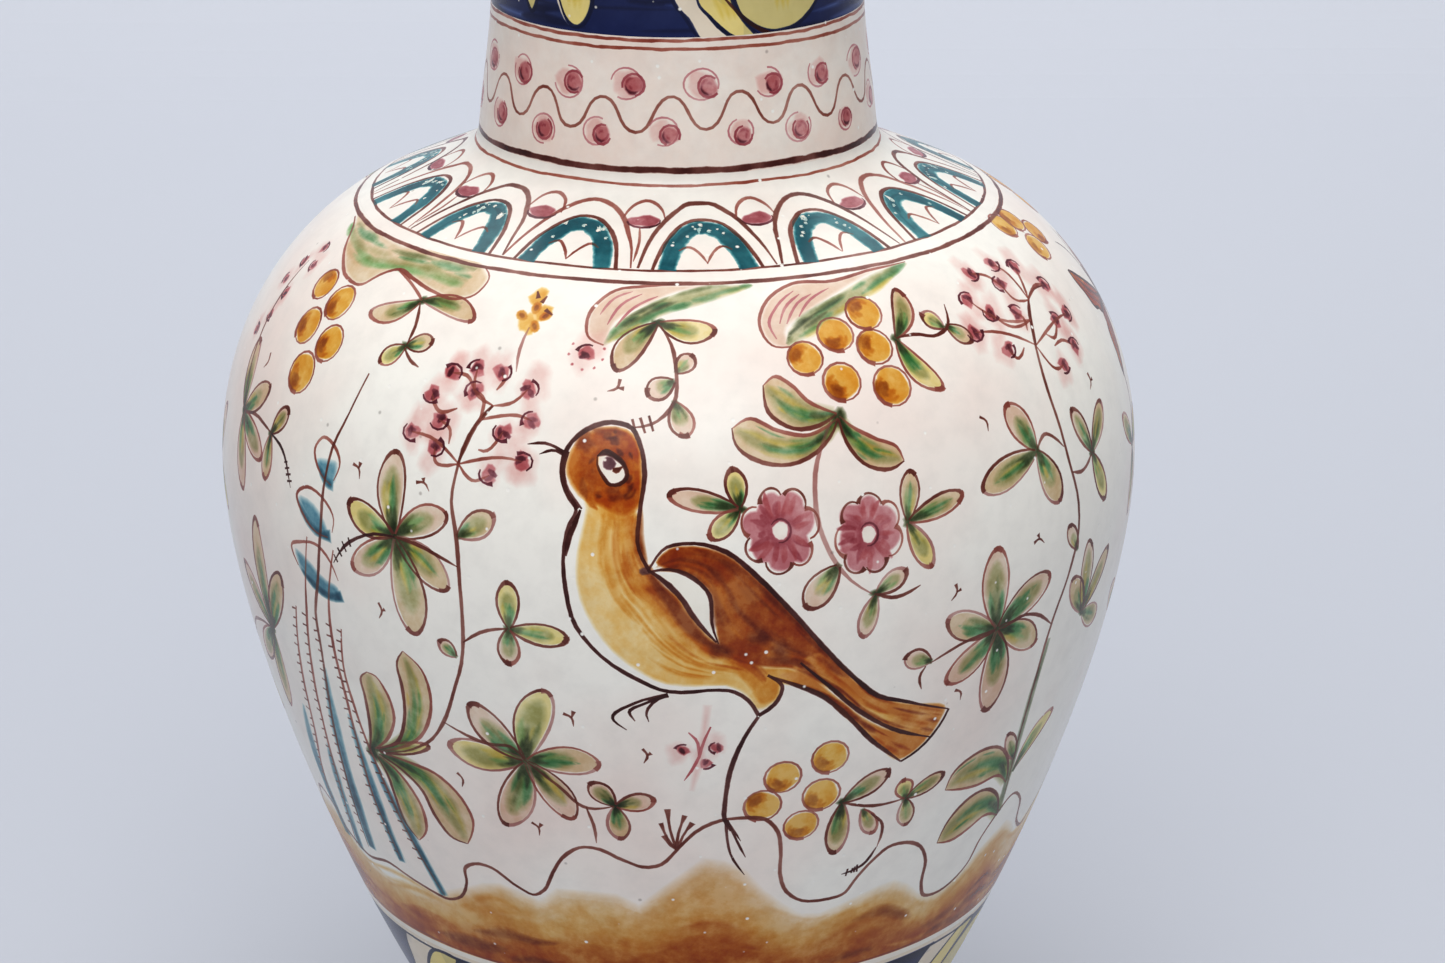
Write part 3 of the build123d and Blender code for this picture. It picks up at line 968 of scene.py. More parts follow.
@dataclass
class Painter:
    """Paints the motifs of the frieze on a sheet."""

    sheet: Sheet

    def spine(self, base: Place, tip: Place, bow: float) -> tuple[float, Callable[[Array, Array], Array]]:
        """The middle line of a leaf, which stands aside by 4 k t (1 - t) of its length at the share t.

        Args:
            base: where it starts.
            tip: where it ends.
            bow: the bow k.

        Returns:
            Its length in millimetres, and what gives the points at some shares of its length and
            at some distances to its left.
        """
        sheet = self.sheet
        start, end = sheet.on_wall([base, tip])
        axis = (end - start) * [float(sheet.shrink(start[1])), 1]
        length = float(np.hypot(*axis))
        along, beside = axis / length, np.array([-axis[1], axis[0]]) / length

        def path(share: Array, aside: Array) -> Array:
            """Points at shares of the length, some distances to the left."""
            aside = aside + 4 * bow * length * share * (1 - share)
            offset = (share * length)[:, None] * along + aside[:, None] * beside
            return sheet.beside(np.repeat(start[None], len(share), 0), offset[:, 0], offset[:, 1])

        return length, path

    def leaf(self, base: Place, tip: Place, breadth: float | None = None, bend: float = 0.0) -> None:
        """Paints a spoon shaped leaf: a pale wash, brush strokes from its foot, and an outline.

        Its half width at the share t of its length is the sine of pi t^1.35, to the power 0.52.

        Args:
            base: where it grows from.
            tip: its end.
            breadth: its greatest width in millimetres; by default it goes with the length.
            bend: sideways bow of its middle as a share of the length.
        """
        sheet = self.sheet
        length, path = self.spine(base, tip, bend)
        breadth = breadth or float(np.clip(0.26 * length + 3.0, 2.8, 9.5))

        def half(share: Array) -> Array:
            """Half the leaf's width at shares of its length."""
            return breadth / 2 * np.sin(math.pi * np.clip(share, 0, 1) ** 1.35) ** 0.52

        def rim(low: float, high: float, size: float) -> Array:
            """The edge of a part of the leaf between two shares of its length, or of a narrower one."""
            turn = np.linspace(0, 2 * math.pi, 80, endpoint=False)
            share = (1 - np.cos(turn)) / 2
            edge = path(low + (high - low) * share, half(share) * size * np.sign(np.sin(turn)))
            return even_bends(edge, sheet.wash_step, sheet.wash_sag)

        tip_ink = (LEAF_YELLOW.thinned(0.7), LEAF_BEIGE, LEAF_BEIGE, LEAF_ROSE, LEAF_ROSE)[HAND.integers(5)]
        sheet.patch(rim(0.02, 0.99, 0.97), tip_ink, 0.4)
        sheet.patch(rim(0.02, HAND.uniform(0.72, 0.92), 0.86), LEAF_SAGE, 0.2 * breadth)
        lanes = 3 if breadth < 5.6 else 4
        for lane in HAND.permutation(lanes):
            side = (lane + 0.5) / lanes * 2 - 1 + HAND.uniform(-0.12, 0.12)
            reach = HAND.uniform(0.52, 0.9) * (1 - 0.3 * abs(side))
            share = np.linspace(0.05, reach, 5)
            ink = (LEAF_GREEN, LEAF_GREEN, LEAF_FRESH, LEAF_YELLOW, LEAF_MOSS)[HAND.integers(5)]
            sheet.press(path(share, side * 0.66 * half(share)), breadth * HAND.uniform(0.24, 0.36),
                        ink.thinned(HAND.uniform(0.7, 1.1)), 0.09 * breadth + 0.2, (0.5, 1.0, 0.2))
        for side in (0.4, 0.0, -0.35) if length > 7 else (0.2, -0.2):
            share = np.linspace(-0.04, HAND.uniform(0.24, 0.48), 4)
            sheet.press(path(share, side * half(share)), 0.18 * breadth + 0.6, LEAF_DARK.thinned(0.8), 0.7,
                        (0.9, 1.0, 0.1))
        for first, last, size in ((0.3, math.pi + HAND.uniform(0.1, 0.7), 1.0),
                                  (2 * math.pi - 0.3, math.pi - 0.2, 1.06)):
            turn = np.linspace(first, last, 40)
            share = (1 - np.cos(turn)) / 2
            edge = path(share, half(share) * size * np.sign(np.sin(turn)))
            ink = (MANGANESE, MANGANESE, MANGANESE_WARM, MANGANESE_PALE)[HAND.integers(4)]
            sheet.stroke(even_bends(edge, sheet.line_step, sheet.line_sag), HAND.uniform(0.75, 1.05), ink,
                         Touch.DROP, 0.8)

    def free_leaf(self, left: list[Place], right: list[Place]) -> None:
        """Paints a leaf between two edges that run from its foot to its tip."""
        sheet = self.sheet
        edge = left + right[-2:0:-1]
        sheet.area(edge, LEAF_BEIGE, 0.5)
        edges = self.runs(left, right)
        breadth = float(np.hypot(*(self.between(edges, 0.0, 0.5) - self.between(edges, 1.0, 0.5))))
        for u, low, high, share, ink in (
                (0.50, 0.00, 0.95, 0.80, LEAF_SAGE), (0.62, 0.30, 0.90, 0.30, LEAF_YELLOW),
                (0.42, 0.02, 0.74, 0.36, LEAF_GREEN), (0.58, 0.00, 0.52, 0.26, LEAF_GREEN),
                (0.50, 0.00, 0.34, 0.34, LEAF_DARK)):
            sheet.press(self.between(edges, u, np.linspace(low, high, 7)), share * breadth, ink, 0.16 * breadth,
                        (0.6, 1.0, 0.3))
        self.plumage(left, right, (LEAF_GREEN, LEAF_YELLOW, LEAF_MOSS, LEAF_GREEN, LEAF_FRESH), 12, (0.15, 0.85),
                     (0.9, 1.7), 0.6)
        sheet.line(left, 1.0, MANGANESE, Touch.TAPER)
        sheet.line(right, 0.95, MANGANESE_WARM, Touch.TAPER)

    def runs(self, left: list[Place], right: list[Place]) -> list[tuple[Array, Array]]:
        """Both edges of a form, each as shares of its length and the points there."""
        edges = []
        for side in (left, right):
            curve = through(self.sheet.on_wall(side), 0.8, spread=True)
            run = run_along(curve)
            edges.append((run / run[-1], curve))
        return edges

    @staticmethod
    def between(edges: list[tuple[Array, Array]], u: float, at: Array | float) -> Array:
        """Points between two edges: (1-u) times the left one plus u times the right one."""
        near, far = (np.stack([np.interp(at, run, values) for values in curve.T], -1) for run, curve in edges)
        return (1 - u) * near + u * far

    def plumage(self, left: list[Place], right: list[Place], inks: tuple[Ink, ...], count: int,
                share: tuple[float, float], width: tuple[float, float], until: float = 0.9) -> None:
        """Lays brush strokes that follow a form from end to end, between its two edges.

        A stroke that runs the share u across the form follows (1-u) times the left edge plus u
        times the right one, both as shares of their length.

        Args:
            left: the form's left edge.
            right: its right edge, in the same direction.
            inks: the inks from the left edge to the right.
            count: how many strokes.
            share: the least and greatest u.
            width: the least and greatest width in millimetres.
            until: the share of the length before which every stroke starts.
        """
        edges = self.runs(left, right)
        for _ in range(count):
            u, start, length = HAND.uniform(*share), HAND.uniform(-0.03, until), HAND.uniform(0.10, 0.30)
            at = np.clip(np.linspace(start, start + length, 5), 0.01, 0.99)
            if at[-1] - at[0] < 0.04:
                continue
            ink = inks[min(int(np.clip(u + HAND.uniform(-0.1, 0.1), 0, 0.999) * len(inks)), len(inks) - 1)]
            size = HAND.uniform(*width)
            self.sheet.press(self.between(edges, u, at), size, ink.thinned(HAND.uniform(0.4, 0.85)), 0.42 * size,
                             (0.4, 1.0, 0.3))

    def curled(self, base: Place, tip: Place, breadth: float, bow: float, inks: tuple[Ink, Ink, Ink]) -> None:
        """Paints a curled leaf or a wing, smooth on its inner edge and scalloped on its outer one.

        At the share t of its length the inner half is 0.4 b sin(pi t)^0.7 and the outer one is
        b sin(pi t^1.2)^0.6 (0.78 + 0.22 |cos 3 pi t|), on a spine bowed by 4 k t (1 - t) of its length.

        Args:
            base: where it grows from.
            tip: its end.
            breadth: the half width b in millimetres; a negative one puts the scallops on the other side.
            bow: the bow k of its spine.
            inks: colours of the leaf, of its brushed shade and of its lines.
        """
        sheet = self.sheet
        length, path = self.spine(base, tip, bow)
        share = np.linspace(0, 1, int(length) + 8)
        bulge = np.abs(np.sin(math.pi * share ** 1.2)) ** 0.6
        outer = breadth * bulge * (0.78 + 0.22 * np.abs(np.cos(3 * math.pi * share)))
        inner = -0.4 * breadth * np.abs(np.sin(math.pi * share)) ** 0.7
        edge = np.vstack([path(share, outer), path(share[-2:0:-1], inner[-2:0:-1])])
        body, shade, line = inks
        sheet.patch(edge, body, 0.35)
        for place in (0.15, 0.5):
            sheet.press(path(share[2:-3], place * outer[2:-3]), 0.3 * abs(breadth),
                        shade.thinned(HAND.uniform(0.5, 1)), 0.8)
        sheet.stroke(path(share[:-2], 0 * share[:-2]), 0.8, line, Touch.PULL)
        sheet.stroke(edge, 1.0, line, Touch.EVEN, 0.8, closed=True)

    def sprig(self, node: Place, tips: list[Place], breadth: float | None = None,
              bend: float = 0.0) -> None:
        """Paints the leaves that grow from one node, and the dark touch at the node."""
        for tip in tips:
            self.leaf(node, tip, breadth, bend)
        self.sheet.blob(node, 1.8, 1.5, LEAF_DARK, 0.8, ragged=0.2)

    def stem(self, places: list[Place], width: float = 0.9, ink: Ink = MANGANESE) -> None:
        """Draws a stem."""
        self.sheet.line(places, width, ink, Touch.TAPER)

    def ticked(self, places: list[Place], tick: float = 2.6, ticks: int = 4,
               ink: Ink = MANGANESE_DARK) -> None:
        """Draws a tail with short ticks across its last third."""
        sheet = self.sheet
        path = through(sheet.on_wall(places), 0.8, spread=True)
        sheet.stroke(even_bends(path, sheet.line_step, sheet.line_sag), 0.8, ink, Touch.TAPER)
        step = np.gradient(path, axis=0)
        step /= np.hypot(*step.T)[:, None]
        for index in np.linspace(len(path) * 0.62, len(path) - 3, ticks).astype(int):
            side = np.array([-step[index][1], step[index][0]])
            ends = path[index] + np.outer([-0.5, 0.5], side * tick * HAND.uniform(0.7, 1.2) + step[index] * 0.6)
            sheet.stroke(ends, 0.6, ink, Touch.EVEN, 0)

    def berry(self, place: Place, radius: float = 4.7) -> None:
        """Paints a berry: a yellow disc, its brown shade and a ring closed by a dark drop."""
        sheet = self.sheet
        sheet.blob(place, radius * 0.95, radius * 0.95, BERRY_YELLOW, 0.5, ragged=0.05)
        side = HAND.uniform(2.2, 4.4)
        centre = sheet.on_wall([place])
        off = sheet.beside(centre, np.array([0.16 * radius * math.cos(side)]),
                           np.array([0.2 * radius * math.sin(side)]))
        for reach, sweep, ink, share, wide in (
                (0.62, 1.7, BERRY_ORANGE, 1.0, 0.5), (0.3, 2.0, BERRY_ORANGE, 1.0, 0.6),
                (0.46, 1.1, BERRY_BROWN, 0.7, 0.5), (0.2, 1.4, BERRY_BROWN, 0.8, 0.5),
                (0.74, 0.8, BERRY_BROWN, 0.8, 0.3)):
            turn = side + np.linspace(-sweep, sweep, 7) + HAND.uniform(-0.5, 0.5)
            arc, ink = sheet.around(off, turn, radius * reach, radius * reach), ink.thinned(share)
            sheet.press(arc, radius * wide, ink.thinned(HAND.uniform(0.75, 1)), 0.6, (0.5, 1.0, 0.3))
        start = HAND.uniform(-2.2, -1.2)
        turn = np.linspace(start, start + 6.3, 17)
        sheet.stroke(sheet.around(centre, turn, radius, radius), 0.8, MANGANESE_WARM, Touch.DROP, 0.9)

    def berries(self, bunch: list[tuple[float, float, float]]) -> None:
        """Paints a bunch of berries, each an angle, a height along the wall and a radius."""
        for turn, along, radius in bunch:
            self.berry((turn, along), radius)

    def bud(self, place: Place, radius: float = 2.3) -> None:
        """Paints a dark mauve bud as short touches over a watery wash, with an arc round it."""
        sheet = self.sheet
        away = HAND.uniform(-1, 1, 2) * radius * 0.9
        sheet.blob(shifted(place, *away), radius * HAND.uniform(1.5, 2.3), radius * HAND.uniform(2.0, 3.2),
                   MAUVE_WASH.thinned(0.85), 2.2, HAND.uniform(-20, 20), 0.15)
        sheet.blob(place, radius * 1.1, radius * 0.95, MAUVE, 0.5, HAND.uniform(0, 180), 0.2)
        centre = sheet.on_wall([place])
        for _ in range(2):
            turn, shift = HAND.uniform(0, math.pi), HAND.uniform(-0.4, 0.4, 2) * radius
            reach = np.linspace(-0.7, 0.6, 3)[:, None] * radius * [math.cos(turn), math.sin(turn)] + shift
            sheet.press(sheet.beside(np.repeat(centre, 3, 0), reach[:, 0], reach[:, 1]), radius * 0.8,
                        MAUVE_DARK.thinned(HAND.uniform(0.6, 0.95)), 0.35, (0.5, 1.0, 0.5))
        turn = HAND.uniform(0, 6.28) + np.linspace(0, HAND.uniform(1.6, 3.4), 6)
        sheet.stroke(sheet.around(centre, turn, radius * 1.15, radius), 0.75, MAUVE_DARK, Touch.DROP, 0.4)

    def cluster(self, buds: list[Place], stem: list[Place], radius: float = 2.3) -> None:
        """Paints buds on curled stalks that leave a stem, over long watery touches."""
        for bud in buds[::2]:
            shift = HAND.uniform(-1.2, 1.2)
            touch = [(bud[0] + shift, bud[1] + 6.5), (bud[0] + shift * 0.4, bud[1]), (bud[0] + shift, bud[1] - 6)]
            self.sheet.blade(touch, HAND.uniform(4.5, 7.0), MAUVE_WASH.thinned(0.75), 2.0, (0.7, 1.0, 0.6))
        self.stem(stem, 1.2)
        trunk = np.array(stem)
        for index, bud in enumerate(buds):
            root = trunk[np.argmin(np.hypot(trunk[:, 0] - bud[0], trunk[:, 1] - bud[1] + 6))]
            bow = 1.8 * (-1) ** index
            middle = ((root[0] * 0.6 + bud[0] * 1.4) / 2 + bow * 0.4, (root[1] * 0.6 + bud[1] * 1.4) / 2 - 0.6 + bow)
            if abs(root[0] - bud[0]) < 13 and abs(root[1] - bud[1]) < 17:
                start = (root[0] * 0.55 + bud[0] * 0.45, root[1] * 0.55 + bud[1] * 0.45)
                self.sheet.line([tuple(root) if index % 3 else start, middle, bud], 0.85, MANGANESE_WARM, Touch.TAPER)
            self.bud(bud, radius)

    def blossom(self, place: Place, radius: float = 9.0, petals: int = 6, start: float = 0.0) -> None:
        """Paints a blossom, a little taller than wide: mauve petals about a white eye.

        Args:
            place: its middle.
            radius: half its width in millimetres.
            petals: how many petals.
            start: turn of the first petal in radians.
        """
        sheet = self.sheet
        centre = sheet.on_wall([place])

        def ringed(turn: Array, reach: Array | float) -> Array:
            """Points round the blossom's middle, at angles and distances from it."""
            return sheet.around(centre, turn, reach, 1.14 * reach)

        turn = np.linspace(0, 2 * math.pi, 56, endpoint=False)
        lobes = np.abs(np.cos((turn - start) * petals / 2)) ** 0.5
        wander = 1 + 0.05 * np.sin(3 * turn + HAND.uniform(0, 6)) + 0.04 * np.sin(5 * turn + HAND.uniform(0, 6))
        sheet.patch(ringed(turn, radius * (0.75 + 0.22 * lobes) * wander), MAUVE_PETAL, 0.7)
        for petal in range(petals):
            for spread in (-0.3, -0.1, 0.12, 0.3):
                at = start + 2 * math.pi * petal / petals + spread + HAND.uniform(-0.1, 0.1)
                reach = radius * np.linspace(HAND.uniform(0.26, 0.4), HAND.uniform(0.6, 1.0), 4)
                sheet.press(ringed(at + np.linspace(0, HAND.uniform(-0.3, 0.3), 4), reach), radius * 0.2,
                            (MAUVE, MAUVE_DEEP)[HAND.integers(2)].thinned(HAND.uniform(0.4, 1.1)), 0.4, (0.7, 1.0, 0.4))
        sheet.patch(ringed(turn[::3], radius * 0.46 * wander[::3]), MAUVE_DEEP, 1.5)
        sheet.patch(ringed(turn[::5], radius * 0.23 * wander[::5]), WHITE, 0.3)
        sheet.stroke(ringed(np.linspace(-1.8, 2.6, 12), radius * 0.27), 0.6, MAUVE_DARK.thinned(0.7), Touch.TAPER)
        for petal in range(petals):
            low = start + 2 * math.pi * (petal - 0.5) / petals - 0.06
            at = np.linspace(low, low + 2 * math.pi / petals + HAND.uniform(-0.16, 0.1), 12)
            bulge = np.sin(np.linspace(0.1, math.pi - 0.1, 12)) ** 0.5
            ink = MANGANESE if petal % 3 else MANGANESE_WARM
            sheet.stroke(ringed(at, radius * (0.72 + 0.30 * bulge * HAND.uniform(0.85, 1.12))), 0.8, ink,
                         Touch.DROP, 0.7)

    def tick(self, place: Place, size: float = 2.3) -> None:
        """Draws a small bird-foot mark: a bent stroke with a short one across."""
        lean = HAND.uniform(-60, 60)
        ends = []
        for angle, reach in ((135 + lean, 1.0), (55 + lean, HAND.uniform(0.5, 1.0)), (262 + lean, 1.1)):
            way = math.radians(angle)
            ends.append(shifted(place, size * reach * math.cos(way), size * reach * math.sin(way)))
        self.sheet.line([ends[0], place, ends[2]], 0.75, MANGANESE, Touch.PULL, 0.4)
        if HAND.uniform() < 0.8:
            self.sheet.line([place, ends[1]], 0.7, MANGANESE, Touch.DROP, 0)


@dataclass
class GardenPainter(Painter):
    """Paints the scene of the frieze: a bird among berries, leaves and blossoms.

    The foot line is where the ground ends below, and the base is well under it.
    """

    foot_line: float = -114.0
    base: float = -124.0

    def ground(self) -> None:
        """Lays the ochre ground along the lower edge, round the whole vase, and its brown swirls."""
        sheet = self.sheet
        top = [(-90, -84), (-84, -82), (-78, -88), (-70, -84), (-64, -82), (-58, -92), (-50, -93), (-40, -92),
               (-32, -88), (-28, -85), (-20, -87), (-18, -80), (-13, -76.5), (-9, -77), (-6, -82), (-3, -78), (3, -71),
               (8, -74), (12, -83), (17, -90), (20, -91), (26, -85), (32, -82), (36, -88), (40, -96), (46, -97),
               (52, -88), (58, -82), (64, -90), (72, -84), (80, -78), (86, -82)]
        whole = top + [(180 - a, s) for a, s in top[::-1]] + [(top[0][0] + 360, top[0][1])]
        turn, rise = np.array(whole).T
        order = np.argsort(turn)
        turn, rise = turn[order], rise[order]
        at = np.arange(-198, 199, 3.0)
        swell = drift(len(at), 400, 12, 1.2)
        for rest, ink, soft in ((1.0, OCHRE_PALE, 4.0), (0.9, OCHRE.thinned(0.7), 6.0), (0.68, OCHRE, 7.0),
                                (0.55, SIENNA.thinned(0.8), 7.0), (0.36, SIENNA, 6.0)):
            edge = np.interp((at + 90) % 360 - 90, turn, rise)
            height = (self.foot_line + (edge - self.foot_line) * rest * (1 + 0.1 * np.sin(np.radians(at * 9)))
                      + swell)
            upper = np.stack([np.radians(at) * sheet.reach, height], 1)
            lower = np.stack([np.radians(at[::-6]) * sheet.reach, np.full(len(at[::-6]), self.base)], 1)
            sheet.patch(np.concatenate([upper, lower]), ink, soft)
        for _ in range(190):
            start, share = HAND.uniform(-180, 180), HAND.uniform(0.05, 0.9)
            sweep = HAND.uniform(7, 20)
            places = start + np.linspace(0, sweep, 6)
            edge = np.interp((places + 90) % 360 - 90, turn, rise)
            bow = HAND.uniform(-1.0, 2.6) * np.sin(np.linspace(-0.6, 3.4, 6))
            height = self.foot_line + (edge - self.foot_line) * share + bow * (0.4 + share)
            if share > 0.62:
                ink = (OCHRE_PALE, OCHRE)[HAND.integers(2)]
            elif share < 0.42:
                ink = (SIENNA, UMBER, UMBER, UMBER, OCHRE)[HAND.integers(5)]
            else:
                ink = (SIENNA, OCHRE, SIENNA, UMBER)[HAND.integers(4)]
            width = HAND.uniform(2.6, 6.5) if share < 0.62 else HAND.uniform(2.0, 4.2)
            sheet.blade(list(zip(places, np.maximum(height, -113.0))), width, ink.thinned(HAND.uniform(0.45, 0.9)),
                        (0.36 if share < 0.62 else 0.5) * width, (0.3, 1.0, 0.4))

    def bird(self) -> None:
        """Paints the bird, from its washes to its outline; it looks left, its tail to the right."""
        sheet = self.sheet
        back = [(-4.6, 28), (-4.7, 20), (-3.6, 14.5), (-2.2, 11), (0, 8.3), (1.5, 3), (4, -3.5), (9, -10),
                (10.5, -14)]
        breast = [(-13.2, 32), (-12.0, 28.5), (-12.8, 24), (-13.3, 16), (-13, 8), (-12, 0), (-10.5, -5),
                  (-8, -10), (-5, -14), (-2, -17), (0, -17.5), (4, -17), (6, -17.5), (8, -20.5), (9.3, -25)]
        rump = [(9.3, -25), (11.5, -21), (12, -17), (10.5, -14)]
        wing_top = [(-3.4, 15), (-1.5, 20), (1.5, 21), (5, 19), (9, 12), (12, 5), (14, 0), (17, -8),
                    (20, -15), (24, -23), (28, -26.5), (35, -32)]
        tail_low = [(10.5, -14), (14, -17.5), (17, -21), (20, -27), (24, -36), (29, -45)]
        tail_end = [(35, -32), (34.2, -36), (33, -39.5), (31, -43), (29, -45)]
        wing_low = [(-2.6, 14.2), (1.2, 12.9), (3.3, 9), (3.8, 0), (5, -6), (9.5, -11), (13, -11), (16, -15),
                    (21, -24), (26, -32), (33, -39)]
        belly = [(-11.8, 34), (-11.0, 29.2), (-11.5, 22.5), (-12.0, 14.2), (-11.6, 7.2), (-10.2, 0.2), (-8.2, -6.0),
                 (-5.2, -11.6), (-1.8, -15.4), (2.0, -16.2), (5.5, -16.2), (7.6, -19), (9.0, -23.6)]
        sheet.area(belly + rump[1:] + back[::-1], BIRD_CREAM, 1.1)
        sheet.area([(5, -8), (9.5, -11), (13, -12), (15.4, -16), (14, -17.6), (11.9, -16.8), (11.6, -20.4),
                    (9.6, -22), (8, -17)], BIRD_GOLD, 1.0)
        sheet.area([(-9.3, 30), (-8.0, 20), (-7.0, 12), (-5.0, 5), (-2.4, -1), (0, -6), (4, -10.5), (8, -15),
                    (9.4, -21), (11.6, -19.5), (10.6, -13.6)] + back[::-1], BIRD_GOLD, 4.5)
        sheet.area([(-6.6, 31), (-6.4, 20), (-5.4, 12), (-3.2, 5), (-0.8, -1), (1.6, -6.4), (5, -9.6), (8.6, -12.6),
                    (10.4, -14)] + back[::-1][1:], BIRD_ORANGE, 3.6)
        sheet.area([(-12.9, 34), (-13.7, 38), (-13.1, 43), (-11.3, 46.9), (-8, 48.8), (-5.8, 47.5), (-4.6, 44),
                    (-4.3, 38), (-4.6, 29), (-6.2, 27), (-9, 29), (-11.6, 31)], BIRD_ORANGE, 1.2)
        sheet.area([(-12.0, 36.5), (-12.4, 42), (-10.8, 46.4), (-8, 48.2), (-5.8, 46.8), (-4.8, 43), (-4.5, 36),
                    (-4.9, 30), (-7.6, 31), (-10, 33)], BIRD_RUST.thinned(0.5), 2.0)
        wing = [(-2.8, 16.5), (-1.5, 19.6), (1.5, 20.6), (5, 18.6), (9, 11.6), (12, 4.6), (14, -0.4), (17, -8.4),
                (20, -15.4), (16.5, -16), (13, -12.5), (9.5, -11.4), (6, -9), (4.3, -4), (4, 0), (3.4, 9), (0.6, 13.4)]
        sheet.area(wing, BIRD_RUST, 0.7)
        sheet.area([(13, -11.5), (17, -8.4), (20, -15.4), (24, -23.2), (28, -26.8), (34.6, -32.2), (33.8, -36),
                    (33, -38.8), (26, -33.4), (22, -27.6), (18, -19.8)], BIRD_TAN, 0.7)
        sheet.area([(11, -13.6), (14, -13.0), (18, -20.0), (22, -27.8), (26, -33.6), (32.6, -39.4),
                    (31, -42.6), (29, -44.4), (24, -35.4), (20, -26.6), (17, -20.6), (14, -17)], BIRD_TAN, 0.7)
        self.plumage(belly, back, (BIRD_CREAM, BIRD_CREAM, BIRD_GOLD, BIRD_GOLD, BIRD_ORANGE, BIRD_RUST), 110,
                     (0.06, 0.96), (1.0, 2.2))
        self.plumage(wing_top[:-3], wing_low[:-3], (BIRD_BROWN, BIRD_RUST, BIRD_BROWN, BIRD_ORANGE, BIRD_BROWN), 70,
                     (0.04, 0.94), (1.2, 2.8))
        self.plumage(wing_top[6:], [(12, -12), (18, -19), (22, -27), (26, -33), (33, -39.5)],
                     (BIRD_RUST, BIRD_BROWN, BIRD_ORANGE, BIRD_CREAM, BIRD_BROWN), 34, (0.06, 0.95), (1.0, 2.0))
        self.plumage([(12.5, -13.5), (18, -21), (22, -29), (26, -35), (32.6, -40.2)], tail_low[:-1] + [(28.4, -44)],
                     (BIRD_RUST, BIRD_BROWN, BIRD_RUST, BIRD_ORANGE), 26, (0.06, 0.95), (1.0, 2.0))
        for path, width in (([(-3.6, 16), (-2.9, 12), (-1.2, 7), (0.8, 1), (3.4, -4.4), (5.4, -5.6)], 4.2),
                            ([(-4.4, 30), (-4.5, 22), (-3.6, 14)], 2.4), ([(5.2, 8), (8, 1), (12, -7)], 2.6),
                            ([(0.5, 19), (6, 15.6), (11, 5), (17, -9)], 1.8)):
            sheet.blade(path, width, BIRD_BROWN, 1.1)
        for place in ((9.0, -3.4), (11.6, -7.4), (4.6, -6.2), (3, 2)):
            sheet.blob(place, 3.4, 3.2, BIRD_DEEP.thinned(0.6), 2.2, ragged=0.2)
        self.crown((-8.4, 38.4))
        gap = [(-3, 13.2), (0, 13.6), (3.1, 9), (3.6, 0), (4.2, -3.5), (3, -2), (1.6, 3), (0.2, 8.2)]
        sheet.area(gap, WHITE, 0.35)
        dark, fine = MANGANESE_DARK, 0.7
        sheet.line(breast, 1.0, dark, steady=fine)
        sheet.line([(-13.4, 42), (-13.9, 38), (-13.3, 33), (-12.3, 30.5), (-11.3, 28.6)], 1.35, dark, Touch.TAPER)
        sheet.line([(-11.5, 28.4), (-12.1, 25), (-12.8, 21), (-13.0, 17)], 1.3, dark, Touch.TAPER)
        sheet.line([(-11.8, 28.5), (-13.2, 32), (-14.1, 38), (-13.5, 43), (-11.4, 47.5), (-8, 49.5), (-5.8, 48.2),
                    (-4.6, 44), (-4.1, 38), (-4.6, 28), (-4.7, 20), (-3.4, 14.4)], 1.1, dark, steady=fine)
        sheet.line(wing_top, 1.2, dark, Touch.TAPER, fine)
        sheet.line(rump[:1] + rump[1:] + [(10.2, -13.6)], 1.05, dark, steady=fine)
        sheet.line(tail_low, 1.3, dark, Touch.TAPER, fine)
        sheet.line(tail_end, 0.85, dark, steady=fine)
        sheet.line([(14, -11), (18, -19), (22, -27), (26, -33), (33, -39.5)], 1.15, dark, Touch.TAPER, fine)
        sheet.line([(-3.6, 14.6), (-1.6, 11.5), (0, 8), (1.5, 3), (4.2, -4)], 1.25, dark, Touch.TAPER, fine)
        sheet.line([(-3.6, 14), (-1, 14.6), (1.4, 12.8), (3.2, 9), (3.7, 0), (4.4, -4.4)], 1.0, dark, Touch.TAPER, fine)
        sheet.blob((-3.9, 14.2), 1.6, 1.3, dark, 0.5, ragged=0.2)
        self.eye()
        sheet.line([(-14, 41.7), (-15.6, 43.2), (-18.6, 42.8)], 0.9, MANGANESE_DARK, Touch.PULL)
        sheet.line([(-14, 41.2), (-15.4, 41.9), (-17, 40.8)], 0.8, MANGANESE_DARK, Touch.PULL)
        for toe in ([(-5.2, -20.5), (-8, -25.5), (-6.4, -28.6)], [(-3.9, -20.5), (-6, -23.5), (-5.4, -26)],
                    [(-3, -20.3), (-4, -23.5), (-3.7, -26)]):
            sheet.line([(-1.4, -18.2)] + toe, 1.0, MANGANESE_DARK, Touch.PULL)
        sheet.line([(9.3, -25.3), (7.5, -32), (6.2, -40), (5.7, -50), (5.8, -57), (6.6, -60)], 1.1, MANGANESE_DARK)
        for toe in ([(7.2, -61), (8, -63.5)], [(7.6, -64), (8.8, -69)], [(6.6, -67), (8.8, -75)]):
            sheet.line([(5.9, -56.5)] + toe, 0.8, MANGANESE_DARK, Touch.PULL)

